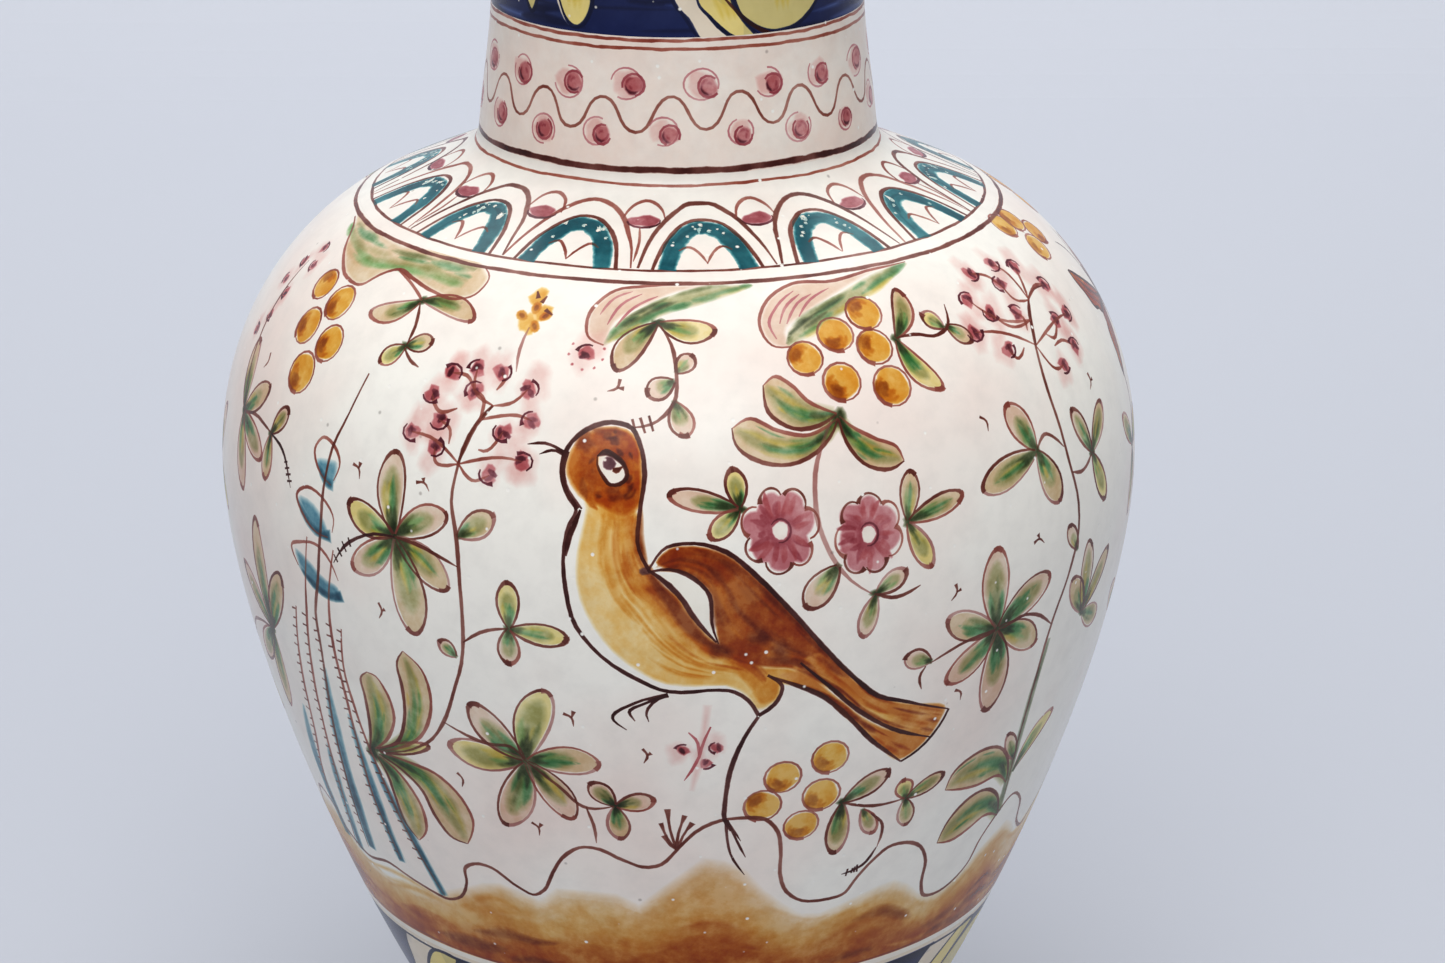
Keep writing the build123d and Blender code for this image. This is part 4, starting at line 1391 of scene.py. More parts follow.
    def crown(self, place: Place) -> None:
        """Lays the patches and the short brush strokes of the head about the eye."""
        sheet, centre = self.sheet, self.sheet.on_wall([place])
        for at, wide, tall, ink in (((-11.4, 44.4), 2.6, 3.4, BIRD_BROWN), ((-8.6, 47), 4.4, 1.8, BIRD_BROWN),
                                    ((-10.4, 35.6), 2.4, 3.4, BIRD_RUST), ((-7.2, 33), 3.6, 2.4, BIRD_BROWN),
                                    ((-5.6, 40.5), 1.2, 5.0, BIRD_ORANGE)):
            sheet.blob(at, wide, tall, ink.thinned(0.7), 1.0, ragged=0.2)
        for _ in range(30):
            start, reach = HAND.uniform(0, 6.28), HAND.uniform(4.4, 8.8)
            turn = np.linspace(start, start + HAND.uniform(0.3, 0.7), 4)
            reach = np.linspace(reach, reach + HAND.uniform(-1.6, 1.6), 4)
            arc = sheet.beside(np.repeat(centre, 4, 0), reach * 0.84 * np.cos(turn), reach * 1.08 * np.sin(turn) - 0.6)
            ink = (BIRD_BROWN, BIRD_ORANGE, BIRD_DEEP, BERRY_ORANGE)[HAND.integers(4)]
            sheet.press(arc, HAND.uniform(1.2, 3.0), ink.thinned(HAND.uniform(0.3, 0.8)), 0.6)

    def eye(self) -> None:
        """Paints the eye: a white almond with a shaded lid and a violet-brown pupil that looks up."""
        sheet = self.sheet
        rim = [(-9.8, 41.2), (-8.8, 42.8), (-7.7, 41.8), (-6.6, 39.7), (-6.2, 36.6), (-7.0, 34.9), (-8.1, 34.6),
               (-9.1, 36.8), (-9.7, 39.0)]
        sheet.area(rim, WHITE, 0.3)
        sheet.area([(-9.9, 41), (-8.9, 42.9), (-7.6, 42), (-6.4, 39.8), (-6.2, 38.4), (-7.4, 40.2), (-8.6, 41.4)],
                   MANGANESE_DARK, 0.4)
        sheet.blob((-8.35, 39.7), 1.75, 1.8, Ink(linear("54303a"), 0.95), 0.4)
        sheet.blob((-8.9, 40.5), 0.6, 0.55, WHITE, 0.25)
        sheet.area([(-8.0, 37.9), (-7.4, 37.2), (-6.7, 38.6), (-6.5, 39.4), (-7.3, 38.9), (-8.0, 38.6)],
                   BIRD_DEEP, 0.3)
        sheet.line(rim + rim[:1], 0.95, MANGANESE_DARK, Touch.TAPER, 0.6)

    def shell_feather(self, outline: list[Place], ribs: list[list[Place]], brush: list[Place]) -> None:
        """Paints a tuft that hangs from the shoulder: a ribbed lobe and a broad green brush stroke.

        Args:
            outline: the lobe's outline, from its lower end up to the shoulder.
            ribs: its ribs.
            brush: the edge of the green stroke, from its lower end up its right side and back.
        """
        sheet = self.sheet
        sheet.area(outline + brush[len(brush) // 2 + 1:], LEAF_ROSE.thinned(0.9), 1.0)
        sheet.area(brush, LEAF_SAGE, 1.2)
        half = len(brush) // 2
        left, right = brush[:1] + brush[:half:-1] + [brush[half]], brush[:half + 1]
        self.plumage(left, right, (LEAF_MOSS, LEAF_GREEN, LEAF_SAGE, LEAF_GREEN, LEAF_YELLOW), 26, (0.02, 0.98),
                     (1.4, 2.8))
        self.plumage(left, right, (LEAF_DARK, LEAF_MOSS), 6, (0.1, 0.6), (1.4, 2.4), 0.3)
        sheet.line(outline, 0.95, MANGANESE_WARM, Touch.TAPER)
        for rib in ribs:
            sheet.line(rib, 0.7, MAUVE_PETAL, Touch.TAPER)

    def upper_motifs(self) -> None:
        """Paints what hangs under the shoulder line."""
        sheet = self.sheet
        drape = [(-77, 86), (-73.5, 84.5), (-66.2, 77.2), (-60, 72.8), (-55.2, 73), (-53.2, 77.2), (-50.5, 80.2),
                 (-45.8, 79), (-40.5, 77), (-36.2, 76.4), (-32.8, 79), (-32.2, 84), (-34.2, 87.2)]
        sheet.area([(-77, 86.6)] + drape[1:-1] + [(-34, 87), (-55, 87.2)], LEAF_BEIGE.thinned(0.8), 1.2)
        top = [(-76, 86.4), (-66, 86.8), (-55, 87), (-44, 87), (-34, 86.8)]
        low = [(-75, 84), (-62, 75.4), (-55, 76), (-47, 79.6), (-36, 78)]
        self.plumage(top, low, (LEAF_MOSS, LEAF_GREEN, LEAF_SAGE, LEAF_FRESH, LEAF_BEIGE), 46, (0.05, 0.85), (1.8, 4.0))
        sheet.line(drape, 1.0, MANGANESE_WARM, Touch.TAPER)
        sheet.line([(-50.5, 80.2), (-46, 78), (-43, 75.6), (-41.5, 74)], 0.8, MANGANESE_WARM)
        self.sprig((-41.5, 74), [(-49.6, 67), (-31, 72)], 5.6, 0.1)
        self.stem([(-41.5, 73), (-40, 67), (-40, 62)])
        self.sprig((-40, 61.5), [(-36, 64.5), (-43.2, 56)], 4.8)
        self.stem([(-40, 61), (-38, 58), (-36.5, 57)], 0.8)
        self.shell_feather([(-10.5, 68.8), (-13, 71.2), (-13.5, 77), (-11.2, 83.5), (-5, 86.5), (0.5, 87)],
                           [[(-11.8, 77.2), (-10.2, 82), (-7.3, 84.5)], [(-10.5, 74.5), (-9, 79.8), (-5.8, 84)],
                            [(-9.2, 73.8), (-7, 79.2), (-3.2, 83.2)]],
                           [(-10.7, 68.6), (-7, 72.2), (-2.2, 77.4), (3.5, 80.4), (12.4, 86.2), (5.6, 86.4), (0, 84.6),
                            (-5, 80.4), (-9.4, 74.8)])
        self.shell_feather([(15.8, 67.5), (13, 68.5), (11.8, 74.2), (13.3, 80), (18.5, 85.4), (25.5, 85), (33.5, 86.4),
                            (41.2, 86.4)],
                           [[(13.8, 69.8), (13.2, 74), (15, 79), (18.5, 83.2)], [(14.8, 74), (16, 78), (19.2, 82.2)],
                            [(15.8, 73.8), (17.8, 78.5), (21.2, 81.8)], [(18, 75.5), (19.8, 79), (24.5, 82.8)]],
                           [(15, 67.8), (18.4, 69.4), (24, 74), (30.2, 78.2), (41.4, 86.2), (34.5, 85.6), (26.3, 81.4),
                            (19.2, 76), (15.4, 71)])
        self.bud((-12.7, 66.5), 2.2)
        for step in range(7):
            turn = math.radians(150 + step * 38)
            sheet.blob((-12.7 + 2.5 * math.cos(turn), 66.5 + 4.4 * math.sin(turn)), 0.5, 0.5, MAUVE, 0.3)
        for place, up in (((-22.2, 81), 3.0), ((-22.4, 73), 3.4), ((-20.6, 76.4), 2.6)):
            sheet.blob(place, 2.6, up, BERRY_YELLOW, 0.8, 8, 0.15)
        for place, lean in (((-23.7, 75), 50), ((-20.0, 75.6), -40), ((-21.9, 77.6), 0), ((-21.2, 72.4), 30)):
            sheet.blob(place, 1.5, 2.0, BERRY_ORANGE, 0.5, lean)
            sheet.blob(place, 0.8, 1.2, BERRY_BROWN, 0.4, lean)
        for ends in ([(-22.8, 82.6), (-22.2, 80.4)], [(-20.9, 81.4), (-21.4, 79.2)], [(-19, 76), (-20.4, 77.4)]):
            sheet.line(ends, 0.8, MANGANESE, Touch.DROP, 0)
        self.stem([(-21.9, 72), (-22.3, 66), (-22, 60)], 0.8, MANGANESE_PALE)
        self.sprig((-3, 75.5), [(-8.4, 62.5), (5.2, 73)], 6.2, -0.08)
        self.stem([(-2.6, 74.5), (-1, 69), (-0.4, 63), (-0.6, 55), (-3, 49.8), (-6, 48.4)])
        for place in ((-3.6, 49.4), (-4.6, 48.9), (-5.6, 48.5)):
            sheet.line([(place[0] - 0.2, place[1] + 2), (place[0] + 0.4, place[1] - 1.8)], 0.7)
        self.leaf((-0.6, 60), (-4.0, 56.5), 5.4)
        self.leaf((-0.4, 62), (1.8, 66.5), 4.4)
        self.leaf((-0.6, 55), (1.0, 46.5), 5.4)
        self.berries([(-64, 68.5, 4.5), (-57.3, 66.3, 5), (-61.2, 57.5, 5), (-54.3, 56, 5), (-57.3, 46.5, 5.4),
                      (17.3, 64.3, 4.4), (22.6, 69.7, 4.6), (28.3, 74.3, 4.7), (27.8, 65, 4.6), (21.6, 57.3, 4.8),
                      (28.5, 54.5, 5), (73, 84, 4.4), (78, 83, 4.4), (76, 73.5, 4.4), (81, 76, 4.2)])
        self.sprig((31.5, 66), [(35.8, 79), (35.8, 51.5)], 5.6, -0.1)
        self.stem([(31.5, 66), (35, 66), (38, 64.5), (41, 66.5), (42.5, 72)])
        self.leaf((40.2, 66), (37.6, 70.8), 4.6)
        self.leaf((40.6, 66.4), (43.8, 61), 4.6)
        self.free_leaf([(20, 49.5), (17, 47.0), (14, 47.2), (11.2, 51.8), (10.9, 58.2)],
                       [(20, 49.8), (18, 51.6), (16.5, 53.4), (14.8, 57.5), (12.6, 60.2), (10.9, 58.2)])
        self.free_leaf([(20, 48.5), (18.8, 44.5), (16, 40.2), (12.8, 38.5), (9.5, 40), (6.8, 44.2), (6.5, 48.2)],
                       [(20, 48.7), (15.5, 45.2), (12, 47), (8.5, 50.3), (6.5, 48.2)])
        self.free_leaf([(20.1, 48.5), (20.8, 41.5), (22.8, 36.5), (26, 34.7), (27.8, 36.2)],
                       [(20.3, 49), (21.8, 45.8), (24.5, 42.5), (27.2, 39.6), (27.8, 36.2)])
        sheet.blob((20.2, 48.6), 2.6, 2.6, LEAF_DARK, 1.4, ragged=0.2)

    def middle_motifs(self) -> None:
        """Paints the plants beside the bird."""
        sheet = self.sheet
        main = [(-24, 51), (-25.5, 47), (-27.3, 35), (-27.5, 28), (-26.5, 18), (-26, 8), (-25.8, -3), (-26.5, -15),
                (-28, -23), (-30, -32), (-33, -40), (-36, -44), (-41, -48)]
        self.stem(main, 1.0)
        self.cluster([(-31, 57.5), (-27.5, 59.5), (-27, 54), (-33, 51.5), (-34.5, 41.5), (-30.8, 39), (-24, 59.5),
                      (-19.7, 56), (-18.5, 48.5), (-22, 45), (-19, 38.5), (-23, 34.5), (-31, 45.5)],
                     [(-24, 51), (-25.4, 47), (-27.2, 36)])
        self.leaf((-26.4, 18.5), (-22, 25), 6.2)
        self.leaf((-27, -13), (-29.2, -9.5), 4.0)
        self.sprig((-20, -3), [(-20, 9), (-13, -4), (-20.2, -12.5)], 5.6)
        self.stem([(-20, -3), (-23, -4.4), (-26, -8.5)])
        self.sprig((-35, 15.5), [(-36.2, 36), (-28, 23.5), (-27.6, 5), (-32.5, -9), (-41.4, 4.4), (-42.4, 20.6)],
                   bend=0.05)
        self.stem([(-35, 15.5), (-30.5, 14), (-26.3, 11)])
        self.ticked([(-35, 15.5), (-38.5, 14.5), (-42.5, 10), (-44.9, 4)])
        self.sprig((-19.5, -40.5), [(-16, -19), (-26, -26), (-30, -40), (-23.8, -62), (-14, -57), (-10, -39.2)],
                   bend=0.05)
        self.stem([(-19.5, -40.5), (-21, -37), (-24, -37), (-30.3, -33)])
        self.stem([(-19.5, -40.5), (-15.5, -47), (-12.5, -53), (-8.3, -52)])
        self.sprig((-8.3, -52), [(-11.3, -45.5), (-3.4, -49.5), (-7.8, -62.5)], 5.4)
        self.stem([(-12.2, -53), (-11.4, -58), (-11.2, -64.5)], 0.8)
        self.free_leaf([(-44.6, -50), (-43.2, -41), (-42.8, -32), (-42.8, -26.5), (-41.5, -24.2)],
                       [(-43.4, -48.4), (-40, -42.4), (-38.2, -35), (-38.8, -28), (-40, -24.6), (-41.5, -24.2)])
        self.free_leaf([(-43, -48), (-38, -42), (-36.4, -34.8), (-35.8, -25), (-36, -18.5), (-34.8, -14.8)],
                       [(-42.6, -48.6), (-37.4, -44), (-33.6, -37.5), (-31.6, -27), (-32.5, -18.5), (-34.8, -14.8)])
        self.free_leaf([(-43.6, -50.5), (-42.4, -56), (-42.2, -62), (-41.6, -71), (-40, -75.5)],
                       [(-43, -50.2), (-40.4, -53), (-38.6, -57), (-37.2, -64), (-37.8, -71), (-40, -75.5)])
        self.free_leaf([(-43, -49.8), (-39, -52.6), (-36.4, -57), (-35.2, -64.8), (-33.3, -70.6), (-30.8, -71.6)],
                       [(-42.6, -48.8), (-37.6, -49), (-33.2, -50.4), (-30, -56.2), (-28.9, -63), (-30.8, -71.6)])
        self.leaf((-43, -48.6), (-33.4, -41.8), 3.4)
        sheet.blob((-44, -49.6), 2.6, 3.4, LEAF_DARK, 1.6, 20, 0.2)
        self.sprig((7, 29), [(-1.2, 32.5), (6.3, 38.4), (3.6, 22)], 5.0)
        self.blossom((11.6, 23.2), 9.2, 7, 0.2)
        self.blossom((22.2, 20), 8.8, 7, 0.6)
        self.sprig((27.3, 21.5), [(28.4, 33.5), (35.2, 25.6), (30.3, 9.5)], 5.2)
        self.stem([(19, 48), (16.5, 38), (15.9, 30), (16.7, 20), (18, 14), (20, 9), (22.5, 5)], 1.2, MANGANESE_PALE)
        self.leaf((18.4, 13.5), (14.6, 3.6), 7.0)
        self.sprig((23, 5), [(26.8, 9.6), (21.6, -6)], 4.8)
        self.stem([(22.8, 5), (25.5, 3.2), (28.8, 5.2)], 0.9)
        self.sprig((41, -12.5), [(40, 9.4), (50, -3), (49, -21), (42, -36.5), (34, -24), (33, -6)], None, 0.04)
        self.stem([(41, -12.5), (35, -14), (31, -17)])
        self.leaf((31.2, -16.5), (27.4, -14), 5.2)
        self.stem([(30.4, -17.5), (29.8, -20), (30.2, -24)], 0.8)
        self.stem([(42, -13), (46, -11.5), (52, -18)])
        self.sprig((48.5, 30), [(45, 43), (38.4, 25), (51.8, 15.5)], 7.6)
        self.stem([(48.5, 30), (50.5, 33), (54, 28)])
        right = [(66, 66), (63, 66.5), (60, 65), (57.5, 60.5), (55.5, 55), (54, 45), (54, 35), (54.5, 25), (56, 12),
                 (56, 5), (54.5, -5), (52, -18), (51, -35), (51, -50), (52.5, -70)]
        self.stem(right, 1.0)
        sheet.blade([(52.2, -22), (51.2, -36), (51.2, -52), (52.4, -76)], 3.0, LEAF_DARK.thinned(0.6), 0.8, (0.6, 1, 1))
        self.cluster([(51.8, 77.5), (47.3, 71.3), (45, 62.5), (49.5, 56), (58.3, 77.5), (56.3, 72), (55.3, 63.5),
                      (63, 74), (66.8, 66), (63.3, 57), (67.3, 56.8), (59.7, 46.5), (64.5, 49), (50, 66)],
                     [(60, 65), (57.5, 60.5), (55.5, 54)], 2.3)
        self.sprig((60.5, 23), [(57.6, 35.5), (66, 33), (63.5, 9)], 5.6)
        self.stem([(60.5, 23), (57.5, 20), (55, 21)])
        self.leaf((56, 0), (53.6, 7.5), 4.2)
        self.sprig((60, -20), [(59, 0.5), (66, -6), (55.6, -8), (66.5, -26)], 6.4)
        self.free_leaf([(51.6, -65), (49.6, -56), (46, -50.4), (42, -49.8), (38.4, -54), (37.8, -58.8)],
                       [(51.6, -65.4), (48.4, -61), (44.4, -61.2), (40.6, -60.2), (37.8, -58.8)])
        self.free_leaf([(52.6, -76.4), (50.4, -69), (47, -64.4), (43, -65), (40.2, -70), (39.3, -77)],
                       [(52.6, -76.8), (48.6, -74), (45.5, -76.2), (42.4, -78), (39.3, -77)])
        self.leaf((51.5, -58), (48, -48), 4.2)
        self.leaf((52.5, -62), (59, -48), 6.0, 0.1)

    def lower_motifs(self) -> None:
        """Paints the berries, the butterfly and the grass over the ground line."""
        sheet = self.sheet
        self.berries([(12.8, -44, 4.7), (18.8, -39.5, 4.8), (10.5, -52.5, 4.7), (18.2, -51, 4.9), (16, -60, 4.5)])
        self.sprig((21.3, -54.5), [(27.4, -47), (21.4, -71)], 6.0)
        self.leaf((24.5, -58), (26.9, -66.5), 4.4)
        self.stem([(21.3, -54.5), (26, -57.5), (31, -57.5)])
        self.stem([(26, -60), (28.2, -65), (28, -72)], 0.8)
        self.ticked([(28, -72), (26.4, -77), (23.2, -79)], 2.2)
        self.sprig((31, -57.5), [(30, -51.4), (36.6, -52.6), (32.2, -66.6)], 4.8)
        sheet.blade([(3.2, -21), (2.6, -33), (1.4, -47)], 3.6, MAUVE_WASH, 1.2, (0.7, 0.8, 0.5))
        for place in ((0.3, -34.3), (4.4, -33.8), (3.1, -38.4)):
            self.bud(place, 1.7)
        sheet.line([(1, -29), (2.2, -33), (2.2, -36)], 0.8, MAUVE, Touch.TAPER)
        sheet.line([(3.6, -27.5), (2.6, -33), (2.2, -37), (0.4, -43.5)], 0.8, MAUVE, Touch.TAPER)
        for tip in ((-1.7, -52.5), (0.5, -54.5), (1.6, -57), (-2.6, -57), (-2.2, -61)):
            sheet.line([(-0.5, -66), ((tip[0] - 0.5) / 2 - 0.3, (tip[1] - 66) / 2), tip], 0.9, MANGANESE, Touch.DROP)
        wave = [(-40, -94), (-38, -94.5), (-35, -92), (-33, -86), (-32.5, -81), (-30, -78), (-28, -78), (-24, -83),
                (-21.5, -85), (-20, -83), (-18, -76), (-16, -70), (-13.5, -66.5), (-11, -66.5), (-8, -69.5),
                (-5, -71.8), (-3, -71), (0, -64.5), (2, -60), (5, -56.5), (8, -56), (11, -57), (12.7, -61),
                (13.5, -68), (13.8, -76), (15, -82), (17, -85.5), (21, -87), (24.5, -86), (26, -81), (28, -76),
                (30, -73), (33, -73), (36, -76), (38, -82), (38.7, -90), (40, -95), (43, -96.5), (46, -95),
                (49, -90), (50, -83), (52, -77)]
        sheet.line(wave, 1.0, MANGANESE)
        sheet.line([(-90, -84), (-86, -78), (-82, -80), (-79, -88), (-75, -90), (-71, -84), (-68, -78), (-64, -80),
                    (-61, -88), (-57, -92), (-50, -90), (-45, -92), (-40, -94)], 1.0, MANGANESE)
        sheet.line([(52, -77), (55, -72), (59, -76), (62, -86), (66, -90), (71, -84), (75, -76), (80, -74), (85, -79),
                    (90, -84)], 1.0, MANGANESE)

    def reed_plant(self) -> None:
        """Paints the tall plant with blue blades and ladder-ticked stalks."""
        sheet = self.sheet
        for outline, blue, foot in (
                ([(-45.8, 23.2), (-48.2, 25.5), (-49.8, 31), (-48.8, 34), (-46.2, 32.8), (-44.8, 29.2), (-45.4, 24.6)],
                 [(-49.2, 28.4), (-47.4, 29.4), (-45.2, 29.4), (-45.2, 24), (-46.2, 22.9), (-47.8, 24.5)],
                 [(-48.8, 27.6), (-47.6, 25.2), (-46.2, 23.4), (-45.3, 23.6)]),
                ([(-45.8, 10), (-47.5, 10), (-50.3, 12.8), (-52.2, 17.8), (-50.5, 20.5), (-47, 19.5), (-44.8, 15),
                  (-45.0, 11.6)],
                 [(-51.9, 17.6), (-49, 17.6), (-46.4, 14), (-45.6, 11), (-47.5, 10), (-50.3, 12.8)],
                 [(-52, 17), (-50.2, 12.9), (-47.4, 10.2), (-45.2, 10.6)]),
                ([(-52, -0.8), (-53.2, 4), (-51.2, 5.8), (-48, 7), (-45.5, 3.8), (-44.2, -0.5)],
                 [(-52.6, 3.5), (-50, 2.4), (-47, -1), (-44.2, -2.8), (-44, -4.8), (-46, -6), (-49.2, -4.5),
                  (-52, -0.8)],
                 [(-52, -0.6), (-49.2, -4.2), (-46, -5.8), (-43.7, -4.4)])):
            sheet.area(blue, SLATE_BLUE.thinned(0.8), 1.6)
            sheet.blade(foot, 3.4, SLATE_DARK, 1.0, (0.2, 0.8, 1.0))
            sheet.line(outline, 0.85, MANGANESE_WARM, Touch.TAPER)
        for path, width in (([(-59.6, -46), (-62.6, -70), (-62.4, -90)], 4.8), ([(-50, -28), (-51.5, -49.5),
                            (-52.5, -66.5), (-53.8, -88)], 5.2), ([(-47.2, -40), (-46.8, -60.5), (-46.5, -75.5),
                            (-46, -87)], 4.4), ([(-44.8, -50), (-43.5, -62), (-41, -77.5), (-38.6, -94)], 4.2),
                            ([(-55.6, -55), (-57.4, -78), (-58.6, -92)], 4.4)):
            sheet.blade(path, width, SLATE_BLUE.thinned(0.85), 1.2, (0.3, 1.0, 0.9))
            sheet.blade(path[1:], 0.6 * width, SLATE_DARK.thinned(0.85), 0.8, (0.2, 1.0, 1.0))
        stalks = ([(-44.2, 52.5), (-45.2, 42), (-46.5, 32.8), (-47, 23), (-47.2, 10.5), (-48, -1.5), (-49.5, -11.8),
                   (-49.8, -22.5), (-51.8, -47), (-53.5, -67.2), (-55, -88.2)],
                  [(-54, -13.2), (-56.2, -31.2), (-58.5, -53), (-62.2, -74), (-62, -89)],
                  [(-49.8, 8), (-51.5, -12.2), (-53.2, -30), (-55, -52), (-56.5, -69.5), (-60, -91)],
                  [(-44.8, 7.2), (-46.5, -8.2), (-47, -20.8), (-46.8, -33.2), (-47, -50), (-47.2, -70.2), (-46, -85.8)],
                  [(-44.8, -14), (-45.8, -26.5), (-45.2, -40.8), (-43.8, -56.8), (-42, -74.2), (-38.5, -93.8)])
        for path in stalks:
            sheet.line(path, 1.0, MANGANESE if path is stalks[0] else MANGANESE_WARM, Touch.TAPER)
            curve = through(sheet.on_wall(path), 1.0, spread=True)
            inside = curve[(curve[:, 1] < -14) & (curve[:, 1] > -84)]
            for at in inside[::3]:
                left = HAND.uniform(1.6, 2.4) * sheet.side
                rung = np.stack([at - [left, HAND.uniform(-0.4, 0.4)], at - [0.2 * sheet.side, 0.0]])
                sheet.stroke(rung, 0.6, MANGANESE, Touch.EVEN, 0)

    def edge_motifs(self) -> None:
        """Paints the plants at the two sides of the scene."""
        for bud in ((-74, 75), (-72, 70), (-76.5, 69), (-74, 60), (-74.5, 53), (-78, 62), (-77, 47)):
            self.bud(bud, 1.8)
        self.stem([(-70, 29), (-73, 42), (-75, 56), (-75, 70)], 0.8)
        self.sprig((-70, 29), [(-63.6, 39), (-73.4, 46.5), (-61.6, 21.5), (-67, 10)], 6.6)
        self.stem([(-70, 29), (-65, 30.5), (-60, 29)])
        self.sprig((-60, 29), [(-57.2, 36.6), (-60, 17)], 5.0)
        self.ticked([(-60, 29), (-56.5, 26.5), (-53.6, 18.5)], 2.2)
        self.sprig((-63, -26), [(-57, -6.5), (-62.8, 5), (-70.4, -39), (-66, -51), (-70, -12)], 7.0)
        self.stem([(-63, -26), (-72, -30), (-80, -48), (-84, -74)], 1.0)
        self.sprig((-80, -48), [(-86, -34), (-88, -56), (-74, -58)], 6.6)
        self.sprig((-84, 8), [(-80, 24), (-91, 14), (-88, -8), (-77, -2)], 7.2)
        self.stem([(-84, 8), (-85.5, -14), (-83, -34)], 0.9)
        self.sprig((80, -34), [(84, -14), (73, -22), (88, -44), (76, -56)], 7.0)
        self.stem([(80, -34), (79, -54), (76, -76)], 1.0)
        self.moth()
        self.sprig((78, 14), [(73.4, 24), (84.5, 20), (76, -4)], 6.0)
        self.stem([(78, 14), (81, 26), (80, 36)], 0.9)
        self.stem([(78, 14), (80.5, -8), (80, -34)], 0.9)
        self.leaf((80.2, -12), (86, -2), 4.6)
        for place in ((-67, 44), (-41.5, 29.5), (-31.5, 30), (-37.3, -5), (-13, -26), (-29, -50), (-19, -61.5),
                      (41, 41), (47.5, 8), (34, 1), (36.5, -28), (65, 39), (-8, 58), (-4, -36)):
            self.tick(place)

    def moth(self) -> None:
        """Paints half a moth at the side; the mirrored scene adds its other half."""
        for tip, breadth, bow in (((79.0, 63), 6.5, 0.1), ((80.5, 31), -5.5, -0.1)):
            self.curled((89.3, 49), tip, breadth, bow, (BIRD_ORANGE, BIRD_BROWN, MANGANESE_DARK))
            spot = (0.35 * 89.3 + 0.65 * tip[0], 0.35 * 49 + 0.65 * tip[1])
            self.sheet.blob(spot, 1.3, 1.3, BIRD_CREAM, 0.5)
        self.sheet.line([(89.4, 58), (87.5, 66), (85.5, 69)], 0.7, MANGANESE_DARK, Touch.TAPER)
        if self.sheet.side > 0:
            self.sheet.blade([(90, 36), (90, 48), (90, 58)], 3.6, BIRD_DEEP, 0.6, (0.4, 1.0, 0.7))

    def scene(self, turn: float, mirrored: bool) -> None:
        """Paints the whole scene about one side of the vase.

        Args:
            turn: where its middle comes, in degrees.
            mirrored: whether it looks the other way.
        """
        self.sheet.turn, self.sheet.side = turn, -1.0 if mirrored else 1.0
        self.reed_plant()
        self.upper_motifs()
        self.middle_motifs()
        self.lower_motifs()
        self.edge_motifs()
        self.bird()
        self.sheet.turn, self.sheet.side = 0.0, 1.0


